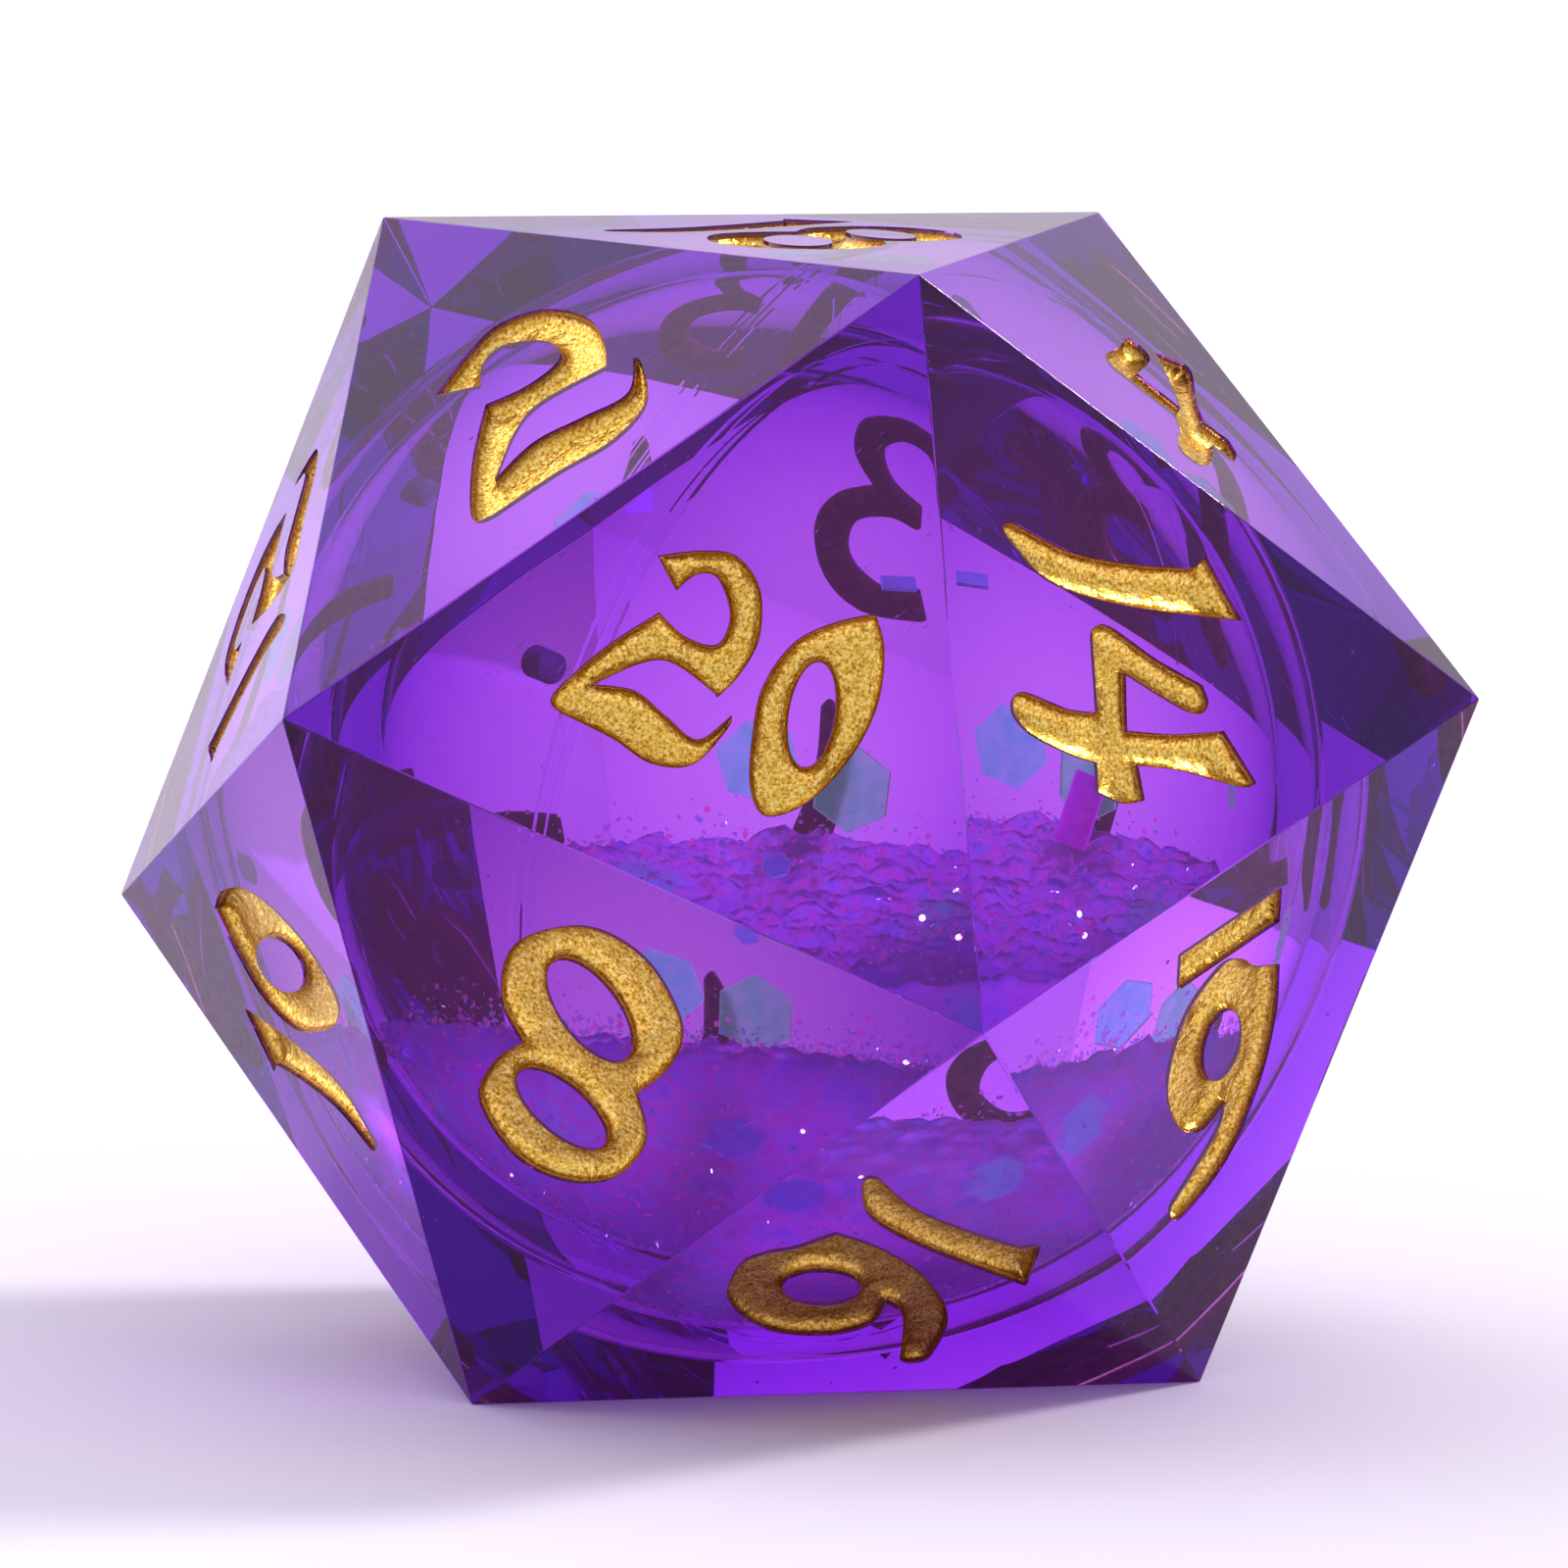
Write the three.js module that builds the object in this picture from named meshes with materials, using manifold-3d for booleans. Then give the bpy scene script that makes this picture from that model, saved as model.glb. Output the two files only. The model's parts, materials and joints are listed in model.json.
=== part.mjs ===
// Twenty-sided die, 22 mm across the flats, cast in clear violet resin around a sealed
// capsule of liquid and glitter, with engraved numerals lined in gold ink.
// Millimetres, +Z up. The die stands on its face 3 and the origin is the centre of that face.

import * as THREE from 'three';
import { ConvexGeometry } from 'three/addons/geometries/ConvexGeometry.js';
import { mergeVertices } from 'three/addons/utils/BufferGeometryUtils.js';
import Module from 'manifold-3d';

// ---- Driving dimensions -------------------------------------------------------------------

const FACE_TO_FACE = 22; // between opposite faces, as a caliper reads it
const EDGE_POLISH = 0.07; // radius that polishing leaves on every edge and corner
const ENGRAVING_DEPTH = 0.45;
const INK_RECESS = 0.2; // from the face down to the top of the dried ink
const INK_GAP = 0.03; // between an ink line and the walls of its groove
const PARTING_GAP = 0.04; // between the two castings, in the horizontal mid-plane
const CAPSULE_DIAMETER = 17;
const CAPSULE_WALL = 0.8;
const BOND_GAP = 0.09; // between the capsule and the resin around it
const CAPSULE_AXIS = new THREE.Vector3(-0.63, 0.76, 0.15).normalize(); // out through the rear shell
const PLUG_AXIS = new THREE.Vector3(-0.31, 0.95, 0.06).normalize();
const PLUG_DIAMETER = 0.7;
const PLUG_GAP = 0.05;
const RIM_LAP = 0.5; // how far the rear shell's rim reaches over the front shell's
const LIQUID_CLEARANCE = 0.16; // leaves room for the liquid to turn inside the faceted shell
const GLITTER_TOP = -3.2; // height of the glitter cloud's top, from the centre of the die
const CLOUD_GAP = 0.05; // between the clear liquid and the glitter cloud
const FLAKE_THICKNESS = 0.1;
const FLAKE_GAP = 0.06;
const FLAKE_DEPTH = 0.45; // of a flake's outer face under the surface of the liquid

const ROUND_STEPS = 28; // around a body of revolution
const ARC_STEPS = 7; // along a quarter of a circle

// ---- Icosahedron ----------------------------------------------------------------------------

const GOLDEN = (1 + Math.sqrt(5)) / 2;
const EDGE = FACE_TO_FACE * Math.sqrt(3) / GOLDEN ** 2;
const INRADIUS = FACE_TO_FACE / 2;
const CORNER_RADIUS = EDGE * Math.sqrt(GOLDEN * Math.sqrt(5)) / 2;
const END_RING_RADIUS = EDGE / Math.sqrt(3);
const WAIST_RING_RADIUS = GOLDEN * END_RING_RADIUS;
const WAIST_RING_HEIGHT = Math.sqrt(CORNER_RADIUS ** 2 - WAIST_RING_RADIUS ** 2);

// Three corners at one height, a third of a turn apart, counted anticlockwise from above.
function cornerRing(names, radius, height, firstAngle) {
  return [...names].map((name, index) => {
    const angle = THREE.MathUtils.degToRad(firstAngle + 120 * index);
    return [name, new THREE.Vector3(radius * Math.cos(angle), radius * Math.sin(angle), height)];
  });
}

const CORNERS = Object.fromEntries([
  ...cornerRing('BHA', END_RING_RADIUS, INRADIUS, -90),
  ...cornerRing('EKC', WAIST_RING_RADIUS, WAIST_RING_HEIGHT, -30),
  ...cornerRing('DLI', WAIST_RING_RADIUS, -WAIST_RING_HEIGHT, -90),
  ...cornerRing('GJF', END_RING_RADIUS, -INRADIUS, -30),
]);

// The number on each face, and the face's corners. The numeral's top points to the first corner.
// Opposite faces add up to 21.
const FACES = {
  1: 'JKL', 2: 'ABC', 3: 'FGJ', 4: 'HBE', 5: 'KAH', 6: 'GDE', 7: 'IJK', 8: 'FCD', 9: 'LEG', 10: 'ICF',
  11: 'LEH', 12: 'IAC', 13: 'HKL', 14: 'EBD', 15: 'AKI', 16: 'GDF', 17: 'JIF', 18: 'HAB', 19: 'JGL', 20: 'BCD',
};

// A face's own frame: x to the numeral's right, y to its top, z out of the die.
function faceFrame(cornerNames) {
  const corners = [...cornerNames].map((name) => CORNERS[name]);
  const centre = new THREE.Vector3();
  corners.forEach((corner) => centre.addScaledVector(corner, 1 / 3));
  const out = centre.clone().normalize();
  const up = corners[0].clone().sub(centre).normalize();
  const right = new THREE.Vector3().crossVectors(up, out);
  return new THREE.Matrix4().makeBasis(right, up, out).setPosition(centre);
}

const FACE_FRAMES = Object.fromEntries(
  Object.entries(FACES).map(([number, corners]) => [number, faceFrame(corners)]),
);

// The whole die without engraving: each corner is drawn in by the polish, then pushed out along
// the normals of the five faces that meet there, which leaves a narrow flat on every edge.
function polishedIcosahedron() {
  const points = [];
  const shrink = 1 - EDGE_POLISH / INRADIUS;
  for (const [number, cornerNames] of Object.entries(FACES)) {
    const out = new THREE.Vector3().setFromMatrixColumn(FACE_FRAMES[number], 2);
    for (const name of cornerNames) {
      points.push(CORNERS[name].clone().multiplyScalar(shrink).addScaledVector(out, EDGE_POLISH));
    }
  }
  return new ConvexGeometry(points);
}

// ---- Digits -----------------------------------------------------------------------------------

// Broad-nib digits, in hundredths of the die's edge, with x = y = 0 in the middle. An outline is a
// start point and runs; a run is a smooth curve through its points, and runs meet at corners.
// Counters are ellipses: centre x, centre y, half width, half height, tilt in degrees.
const DIGITS = {
  0: {
    start: [2.5, 19.8],
    runs: [[[6.5, 14.8], [9.5, 5.8], [9.3, -4.2], [6, -14.2], [0.5, -19.4], [-4, -16.2],
      [-7.5, -8.2], [-9.7, 0.8], [-8, 9.8], [-3, 15.8], [2.5, 19.8]]],
    counters: [[0, -0.4, 3.9, 9.2, 17]],
  },
  1: {
    start: [4.2, 19],
    runs: [[[-4, 14]], [[-2.3, 12]], [[-2.1, 2], [-3, -8], [-6.2, -17]],
      [[-5.4, -18.7], [-3, -17.2], [1.4, -11.5], [3.6, 0], [4.2, 19]]],
    counters: [],
  },
  2: {
    start: [-9.5, 13.8],
    runs: [[[-3, 17.6], [3, 19.2], [9, 15.6], [12.5, 8], [12.2, 1], [10.5, -4]],
      [[1, -2], [-4, -4.2], [-10, -11]],
      [[-3, -9], [4, -10.8], [10.5, -12.2], [14, -6]],
      [[14.3, -8.6], [11.6, -16.4], [5, -19.2], [-3, -18], [-13, -17.6]],
      [[-15.4, -15.4], [-11, -4.6], [-5, 5]],
      [[1, 3], [6.4, 4], [6.3, 9.4], [1.6, 14.4], [-2, 13.6], [-4, 9.6]], [[-9.5, 13.8]]],
    counters: [],
  },
  3: {
    start: [-9, 13.8],
    runs: [[[-3, 17.6], [3, 19.2], [8.8, 15.6], [8.8, 8.8], [3.6, 3.2]],
      [[9, -1.4], [10.4, -8], [6.4, -15.6], [-1, -19], [-10.5, -16.4]], [[-8, -11.8]],
      [[-2, -14], [4, -10.6], [4.4, -4.4], [-0.6, -0.8], [-5, -1.2]], [[-4, 2.8]],
      [[1.4, 5.4], [4.2, 10.6], [1.4, 14.4], [-2.4, 13.8], [-4.6, 10]], [[-9, 13.8]]],
    counters: [],
  },
  4: {
    start: [-5.5, 11.5],
    runs: [[[-3, 12.2], [-1.7, 9.4], [-6.2, -0.9]], [[1.5, -1.5]], [[1.4, 6], [0.4, 14.4]], [[7, 19]],
      [[7.7, 16.6], [6.2, 7], [6, -0.2]], [[10.6, 0.4]], [[11.2, -3], [10, -7]], [[6.1, -6.8]],
      [[5.4, -10.4], [3, -17], [0, -19.6], [-2.5, -18], [-0.8, -11], [-0.6, -6]], [[-11.5, -5.8]],
      [[-12.4, -3.2], [-8.4, 4.4], [-5.5, 11.5]]],
    counters: [],
  },
  5: {
    start: [-5.2, 17.8],
    runs: [[[2, 17], [9, 20]], [[8.2, 14.6], [3.6, 12], [-2.6, 12.6]], [[-4, 6]],
      [[3, 5.2], [8.8, 0.4], [8.8, -8], [4, -15.6], [-3, -19], [-10.5, -16.4]], [[-9, -12]],
      [[-3, -13.8], [3.6, -9.8], [3.6, -2.6], [-1.6, 0.6], [-8.6, 0.4]], [[-5.2, 17.8]]],
    counters: [],
  },
  6: {
    start: [-11, -13],
    runs: [[[-6, -15.4], [-3, -18.2], [1, -19.4], [8, -15], [11, -5.4], [8.4, 3], [3.4, 6.6], [-1.4, 4.6]],
      [[0, 9], [8.6, 16.4]],
      [[8.4, 18.4], [5.6, 19.4], [-2.8, 14.6], [-8.6, 5], [-11, -5], [-11, -13]]],
    counters: [[0, -5.6, 3.9, 5.7, 8]],
  },
  7: {
    start: [-9.6, 17.8],
    runs: [[[-3, 15.8], [4, 16.4], [10, 19.6]], [[10.2, 15.4], [2.6, -2], [1, -18.8]], [[-4, -18.2]],
      [[-3.6, -5], [3.2, 10.8]], [[-3, 10.6], [-10.4, 11]], [[-9.6, 17.8]]],
    counters: [],
  },
  8: {
    start: [-9, 1.8],
    runs: [[[-12, 8], [-9.6, 15], [-3.6, 18.8], [4, 18.6], [10.8, 12.8], [10.4, 6.4], [7.5, 1.8]],
      [[12, -3.4], [12, -12], [4, -18.6], [-5, -17.8], [-12, -11], [-12.2, -4.4], [-9, 1.8]]],
    counters: [[0, 8.9, 7.2, 3.9, -20], [0.2, -7, 7.9, 4.5, -38]],
  },
};
DIGITS[9] = halfTurned(DIGITS[6]);

const DIGIT_SPACE = 2.2; // between two digits, in hundredths of the edge
const NUMERAL_WIDTH_LIMIT = 39; // a wider numeral is made smaller, in hundredths of the edge
const UNDERLINE_DROP = 16.6; // centre of the bar under 6 and 9, below the centre of the face
const UNDERLINE_SIZE = [20.4, 5.6];
const UNDERLINED_DIGIT_RISE = 6.6; // how far 6 and 9 move up to make room for the bar
const NUMERAL_DROP = { 13: 4 }; // a numeral that sits below the centre of its face
const COUNTER_STEPS = 12;

function halfTurned(digit) {
  const turn = ([x, y]) => [-x, -y];
  return {
    start: turn(digit.start),
    runs: digit.runs.map((run) => run.map(turn)),
    counters: digit.counters.map(([x, y, ...rest]) => [-x, -y, ...rest]),
  };
}

// Outline points of one digit, smooth runs sampled at their points and half-way between them.
function digitOutline(digit) {
  const path = new THREE.Path();
  path.moveTo(...digit.start);
  for (const run of digit.runs) {
    if (run.length === 1) {
      path.lineTo(...run[0]);
    } else {
      path.splineThru(run.map(([x, y]) => new THREE.Vector2(x, y)));
    }
  }
  const points = [];
  for (const curve of path.curves) {
    const steps = curve.isLineCurve ? 1 : Math.round((curve.points.length - 1) * 1.5);
    for (let step = 0; step < steps; step += 1) {
      points.push(curve.getPoint(step / steps));
    }
  }
  return points;
}

function counterOutline([x, y, halfWidth, halfHeight, tilt]) {
  const ellipse = new THREE.EllipseCurve(
    x, y, halfWidth, halfHeight, 0, 2 * Math.PI, false, THREE.MathUtils.degToRad(tilt),
  );
  return ellipse.getPoints(COUNTER_STEPS).slice(0, COUNTER_STEPS);
}

function rectangleOutline([width, height], centreY) {
  const [x, y] = [width / 2, height / 2];
  return [[-x, -y], [x, -y], [x, y], [-x, y]].map((p) => new THREE.Vector2(p[0], centreY + p[1]));
}

// Every separate stroke of a numeral as { name, rings }, in millimetres in the frame of its face.
function numeralStrokes(number) {
  const digits = [...number].map((character) => DIGITS[character]);
  const spans = digits.map((digit) => {
    const xs = digitOutline(digit).map((point) => point.x);
    return [Math.min(...xs), Math.max(...xs)];
  });
  const widths = spans.map(([low, high]) => high - low);
  const total = widths.reduce((sum, width) => sum + width, DIGIT_SPACE * (digits.length - 1));
  const scale = Math.min(1, NUMERAL_WIDTH_LIMIT / total);
  const underlined = number === '6' || number === '9';
  const rise = (underlined ? UNDERLINED_DIGIT_RISE : 0) - (NUMERAL_DROP[number] ?? 0);
  const strokes = [];
  let pen = -total / 2;
  digits.forEach((digit, index) => {
    const shift = new THREE.Vector2(pen - spans[index][0], rise);
    const rings = [digitOutline(digit), ...digit.counters.map(counterOutline)];
    rings.flat().forEach((point) => point.add(shift).multiplyScalar(scale * EDGE / 100));
    strokes.push({ name: `numeral_${number}_digit_${index + 1}`, rings });
    pen += widths[index] + DIGIT_SPACE;
  });
  if (underlined) {
    const ring = rectangleOutline(UNDERLINE_SIZE, -UNDERLINE_DROP);
    ring.forEach((point) => point.multiplyScalar(EDGE / 100));
    strokes.push({ name: `numeral_${number}_underline`, rings: [ring] });
  }
  return strokes;
}

// Moves each side of a ring towards the material: the outline shrinks, a counter grows.
function tightened(ring, isCounter) {
  const turn = (THREE.ShapeUtils.isClockWise(ring) !== isCounter) ? -1 : 1;
  return ring.map((point, index) => {
    const before = ring[(index + ring.length - 1) % ring.length];
    const after = ring[(index + 1) % ring.length];
    const inNormal = (from, to) => {
      const side = to.clone().sub(from).normalize();
      return new THREE.Vector2(-side.y, side.x).multiplyScalar(turn);
    };
    const normal = inNormal(before, point).add(inNormal(point, after));
    return point.clone().addScaledVector(normal, 2 * INK_GAP / normal.lengthSq());
  });
}

function strokeSolid(rings, low, high, frame) {
  const shape = new THREE.Shape(rings[0]);
  shape.holes = rings.slice(1).map((ring) => new THREE.Path(ring));
  const geometry = new THREE.ExtrudeGeometry(shape, { depth: high - low, bevelEnabled: false });
  return geometry.translate(0, 0, low).applyMatrix4(frame);
}

// ---- Solids: joining and cutting -------------------------------------------------------------

const wasm = await Module();
wasm.setup();

function toSolid(geometry) {
  const bare = geometry.clone();
  bare.deleteAttribute('normal');
  bare.deleteAttribute('uv');
  const merged = mergeVertices(bare, 1e-4);
  const triangles = [];
  for (let i = 0; i < merged.index.count; i += 3) {
    const [a, b, c] = [0, 1, 2].map((k) => merged.index.getX(i + k));
    if (a !== b && b !== c && c !== a) {
      triangles.push(a, b, c);
    }
  }
  return new wasm.Manifold(new wasm.Mesh({
    numProp: 3,
    vertProperties: new Float32Array(merged.attributes.position.array),
    triVerts: new Uint32Array(triangles),
  }));
}

function toGeometry(solid) {
  const mesh = solid.getMesh();
  const geometry = new THREE.BufferGeometry();
  geometry.setAttribute('position', new THREE.BufferAttribute(mesh.vertProperties, 3));
  geometry.setIndex(new THREE.BufferAttribute(mesh.triVerts, 1));
  return geometry;
}

// Everything above a height (side = 1) or below it (side = -1).
function halfSpace(height, side) {
  const size = 3 * FACE_TO_FACE;
  return toSolid(new THREE.BoxGeometry(size, size, size).translate(0, 0, height + side * size / 2));
}

// ---- Capsule ------------------------------------------------------------------------------------

const CAPSULE_RADIUS = CAPSULE_DIAMETER / 2;
const CAPSULE_INNER_RADIUS = CAPSULE_RADIUS - CAPSULE_WALL;
const LIQUID_RADIUS = CAPSULE_INNER_RADIUS - LIQUID_CLEARANCE;

// Points of an arc about the centre, as Lathe points (x = radius, y = height along the axis).
function arc(radius, fromLatitude, toLatitude, steps) {
  return Array.from({ length: steps + 1 }, (_, step) => {
    const latitude = THREE.MathUtils.lerp(fromLatitude, toLatitude, step / steps);
    return new THREE.Vector2(radius * Math.cos(latitude), radius * Math.sin(latitude));
  });
}

// A body of revolution about an axis through the centre, from a profile in anticlockwise order.
function roundAbout(axis, profile) {
  const turn = new THREE.Quaternion().setFromUnitVectors(new THREE.Vector3(0, 0, 1), axis);
  return new THREE.LatheGeometry(profile, ROUND_STEPS).rotateX(Math.PI / 2).applyQuaternion(turn);
}

const RIM_RADIUS = CAPSULE_RADIUS - CAPSULE_WALL / 2; // where the two rims lie one inside the other
const QUARTER = Math.PI / 2;

// Front shell: a bowl whose rim is cut back on the outside to take the rear shell's rim.
function frontShell() {
  const step = -RIM_LAP;
  return roundAbout(CAPSULE_AXIS, [
    ...arc(CAPSULE_RADIUS, -QUARTER, Math.asin(step / CAPSULE_RADIUS), ARC_STEPS),
    new THREE.Vector2(RIM_RADIUS - PARTING_GAP / 2, step),
    new THREE.Vector2(RIM_RADIUS - PARTING_GAP / 2, 0),
    ...arc(CAPSULE_INNER_RADIUS, 0, -QUARTER, ARC_STEPS),
  ]);
}

// Rear shell: a bowl whose rim laps over the front one's, with a filling hole near its pole.
function rearShell() {
  const step = PARTING_GAP - RIM_LAP;
  const bowl = roundAbout(CAPSULE_AXIS, [
    ...arc(CAPSULE_INNER_RADIUS, QUARTER, Math.asin(PARTING_GAP / CAPSULE_INNER_RADIUS), ARC_STEPS),
    new THREE.Vector2(RIM_RADIUS + PARTING_GAP / 2, PARTING_GAP),
    new THREE.Vector2(RIM_RADIUS + PARTING_GAP / 2, step),
    ...arc(CAPSULE_RADIUS, Math.asin(step / CAPSULE_RADIUS), QUARTER, ARC_STEPS),
  ]);
  const hole = plugPin(PLUG_DIAMETER / 2 + PLUG_GAP, CAPSULE_INNER_RADIUS - 1, CAPSULE_RADIUS + 1);
  return toGeometry(toSolid(bowl).subtract(toSolid(hole)));
}

function plugPin(radius, bottom, top) {
  const profile = [[0, bottom], [radius, bottom], [radius, top], [0, top]];
  return roundAbout(PLUG_AXIS, profile.map((point) => new THREE.Vector2(...point)));
}

// A short pin that seals the hole, level with the shell where its edge meets both surfaces.
function fillPlug() {
  const radius = PLUG_DIAMETER / 2;
  const level = (shellRadius) => Math.sqrt(shellRadius ** 2 - radius ** 2) - PLUG_GAP;
  return plugPin(radius, level(CAPSULE_INNER_RADIUS), level(CAPSULE_RADIUS));
}

// ---- Liquid, glitter cloud and flakes ---------------------------------------------------------

const TEAL = 0x3fb6c8;
const SEA_GREEN = 0x58c8c0;
const BLUE = 0x4fa7dd;
const MAGENTA = 0xc81f9c;

// Loose flakes hang close to the wall: longitude and latitude in degrees as seen from the centre
// (longitude 0 is +X, -90 is the front) and tilt in degrees away from lying flat against the wall.
// A hexagon's size is its width across the flats, a strip's its sides along x and y of its own frame.
const FLAKES = [
  { longitude: 57, latitude: -17, tilt: 10, hexagon: 1.6, colour: SEA_GREEN },
  { longitude: 74, latitude: -13, tilt: -12, hexagon: 1.6, colour: TEAL },
  { longitude: -67, latitude: 1, tilt: 8, strip: [0.75, 1.5], colour: MAGENTA },
  { longitude: -82, latitude: 39, tilt: -10, strip: [0.7, 0.3], colour: BLUE },
  { longitude: -106, latitude: -6, tilt: 14, hexagon: 0.5, colour: BLUE },
  { longitude: 12, latitude: -8, tilt: 15, hexagon: 1.2, colour: SEA_GREEN },
  { longitude: -64, latitude: -40, tilt: -12, hexagon: 1.2, colour: TEAL },
  { longitude: -108, latitude: -44, tilt: 14, hexagon: 1.2, colour: BLUE },
  { longitude: 28, latitude: -42, tilt: 10, hexagon: 1.6, colour: SEA_GREEN },
  { longitude: 100, latitude: -38, tilt: -10, hexagon: 1.6, colour: TEAL },
  { longitude: 150, latitude: -40, tilt: 12, hexagon: 1.2, colour: TEAL },
  { longitude: -165, latitude: -38, tilt: -8, strip: [1.3, 0.6], colour: MAGENTA },
];

// A flake's own frame: z out through the wall, tilted about x, with the flake's outer face at z = 0.
function flakeFrame({ longitude, latitude, tilt }) {
  const [across, rise, lean] = [longitude, latitude, tilt].map(THREE.MathUtils.degToRad);
  const out = new THREE.Vector3(
    Math.cos(rise) * Math.cos(across), Math.cos(rise) * Math.sin(across), Math.sin(rise),
  );
  const turn = new THREE.Quaternion().setFromUnitVectors(new THREE.Vector3(0, 0, 1), out);
  turn.multiply(new THREE.Quaternion().setFromAxisAngle(new THREE.Vector3(1, 0, 0), lean));
  const place = out.multiplyScalar(LIQUID_RADIUS - FLAKE_DEPTH);
  return new THREE.Matrix4().compose(place, turn, new THREE.Vector3(1, 1, 1));
}

function flakeOutline({ hexagon, strip }, margin) {
  if (strip) {
    return rectangleOutline(strip.map((side) => side + 2 * margin), 0);
  }
  const cornerDistance = (hexagon / 2 + margin) / Math.cos(Math.PI / 6);
  return Array.from({ length: 6 }, (_, index) => {
    const angle = index * Math.PI / 3;
    return new THREE.Vector2(cornerDistance * Math.cos(angle), cornerDistance * Math.sin(angle));
  });
}

function flakeSolid(flake) {
  return strokeSolid([flakeOutline(flake, 0)], -FLAKE_THICKNESS, 0, flakeFrame(flake));
}

// The room for a flake, open towards the wall.
function flakeSlot(flake) {
  const outline = flakeOutline(flake, FLAKE_GAP);
  return strokeSolid([outline], -FLAKE_THICKNESS - FLAKE_GAP, FLAKE_DEPTH + 1, flakeFrame(flake));
}

const CLOUD_LATITUDE = THREE.MathUtils.radToDeg(Math.asin(GLITTER_TOP / LIQUID_RADIUS));
const floats = (flake) => flake.latitude > CLOUD_LATITUDE; // otherwise it lies in the glitter cloud

function ball(radius) {
  return toSolid(new THREE.SphereGeometry(radius, ROUND_STEPS, 2 * ARC_STEPS).rotateX(Math.PI / 2));
}

function filling(side, height, flakes) {
  let solid = ball(LIQUID_RADIUS).intersect(halfSpace(height, side));
  for (const flake of flakes) {
    solid = solid.subtract(toSolid(flakeSlot(flake)));
  }
  return toGeometry(solid);
}

// ---- Castings -----------------------------------------------------------------------------------

// Whole die with its grooves and the round hollow that the capsule fills.
function engravedDie() {
  let die = toSolid(polishedIcosahedron());
  for (const number of Object.keys(FACES)) {
    for (const { rings } of numeralStrokes(number)) {
      die = die.subtract(toSolid(strokeSolid(rings, -ENGRAVING_DEPTH, 1, FACE_FRAMES[number])));
    }
  }
  const hollow = roundAbout(CAPSULE_AXIS, arc(CAPSULE_RADIUS + BOND_GAP, -QUARTER, QUARTER, 2 * ARC_STEPS));
  return die.subtract(toSolid(hollow));
}

// ---- Assembly -----------------------------------------------------------------------------------

const RESIN = { color: 0x6a3bd0, roughness: 0.06, metalness: 0, transparent: true, opacity: 0.6 };
const INK = { color: 0xb98a32, roughness: 0.38, metalness: 0.9 };
const SHELL = { color: 0x9d84d8, roughness: 0.08, metalness: 0, transparent: true, opacity: 0.5 };
const PLUG = { color: 0x5b4a86, roughness: 0.2, metalness: 0 };
const LIQUID = { color: 0x8a55ee, roughness: 0.03, metalness: 0, transparent: true, opacity: 0.5 };
const CLOUD = { color: 0xa9499f, roughness: 0.45, metalness: 0.3 };
const FLAKE = { roughness: 0.15, metalness: 0.4 };

const die = new THREE.Group();
die.position.z = INRADIUS;

function addPiece(name, geometry, finish) {
  const piece = new THREE.Mesh(geometry, new THREE.MeshStandardMaterial({ ...finish, flatShading: true }));
  piece.name = name;
  die.add(piece);
}

const engraved = engravedDie();
addPiece('resin_lower_casting', toGeometry(engraved.intersect(halfSpace(-PARTING_GAP / 2, -1))), RESIN);
addPiece('resin_upper_casting', toGeometry(engraved.intersect(halfSpace(PARTING_GAP / 2, 1))), RESIN);
addPiece('capsule_front_shell', frontShell(), SHELL);
addPiece('capsule_rear_shell', rearShell(), SHELL);
addPiece('capsule_fill_plug', fillPlug(), PLUG);
addPiece('liquid_fill', filling(1, GLITTER_TOP + CLOUD_GAP, FLAKES.filter(floats)), LIQUID);
addPiece('glitter_cloud', filling(-1, GLITTER_TOP, FLAKES.filter((flake) => !floats(flake))), CLOUD);

FLAKES.forEach((flake, index) => {
  const number = String(index + 1).padStart(2, '0');
  addPiece(`glitter_flake_${number}`, flakeSolid(flake), { ...FLAKE, color: flake.colour });
});

for (const number of Object.keys(FACES)) {
  for (const { name, rings } of numeralStrokes(number)) {
    const lining = rings.map((ring, index) => tightened(ring, index > 0));
    const solid = strokeSolid(lining, INK_GAP - ENGRAVING_DEPTH, -INK_RECESS, FACE_FRAMES[number]);
    addPiece(name, solid, INK);
  }
}

export default die;
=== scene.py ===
"""Looks of a 22 mm twenty-sided die: clear violet resin, gold-inked numerals, liquid core with glitter."""

import json
import math
import random

import bmesh
import bpy
import numpy as np
from mathutils import Matrix, Vector, noise
from mathutils.geometry import delaunay_2d_cdt


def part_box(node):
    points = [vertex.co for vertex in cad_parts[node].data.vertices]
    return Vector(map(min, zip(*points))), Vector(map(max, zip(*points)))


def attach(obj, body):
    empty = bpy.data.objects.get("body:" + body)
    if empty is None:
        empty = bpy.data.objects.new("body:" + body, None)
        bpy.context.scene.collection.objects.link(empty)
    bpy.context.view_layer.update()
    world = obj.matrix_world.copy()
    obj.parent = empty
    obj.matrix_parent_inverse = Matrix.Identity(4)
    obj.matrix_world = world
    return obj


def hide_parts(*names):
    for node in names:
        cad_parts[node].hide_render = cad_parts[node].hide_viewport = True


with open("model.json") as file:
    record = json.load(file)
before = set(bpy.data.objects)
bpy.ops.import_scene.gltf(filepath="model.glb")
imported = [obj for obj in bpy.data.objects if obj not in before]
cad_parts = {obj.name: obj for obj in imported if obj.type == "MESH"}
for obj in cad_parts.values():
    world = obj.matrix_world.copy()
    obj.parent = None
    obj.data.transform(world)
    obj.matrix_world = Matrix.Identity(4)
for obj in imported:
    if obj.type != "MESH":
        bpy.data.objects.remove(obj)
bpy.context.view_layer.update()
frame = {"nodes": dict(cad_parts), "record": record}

MM = 0.001

# ---- Sizes, in metres unless a name says otherwise ----

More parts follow.
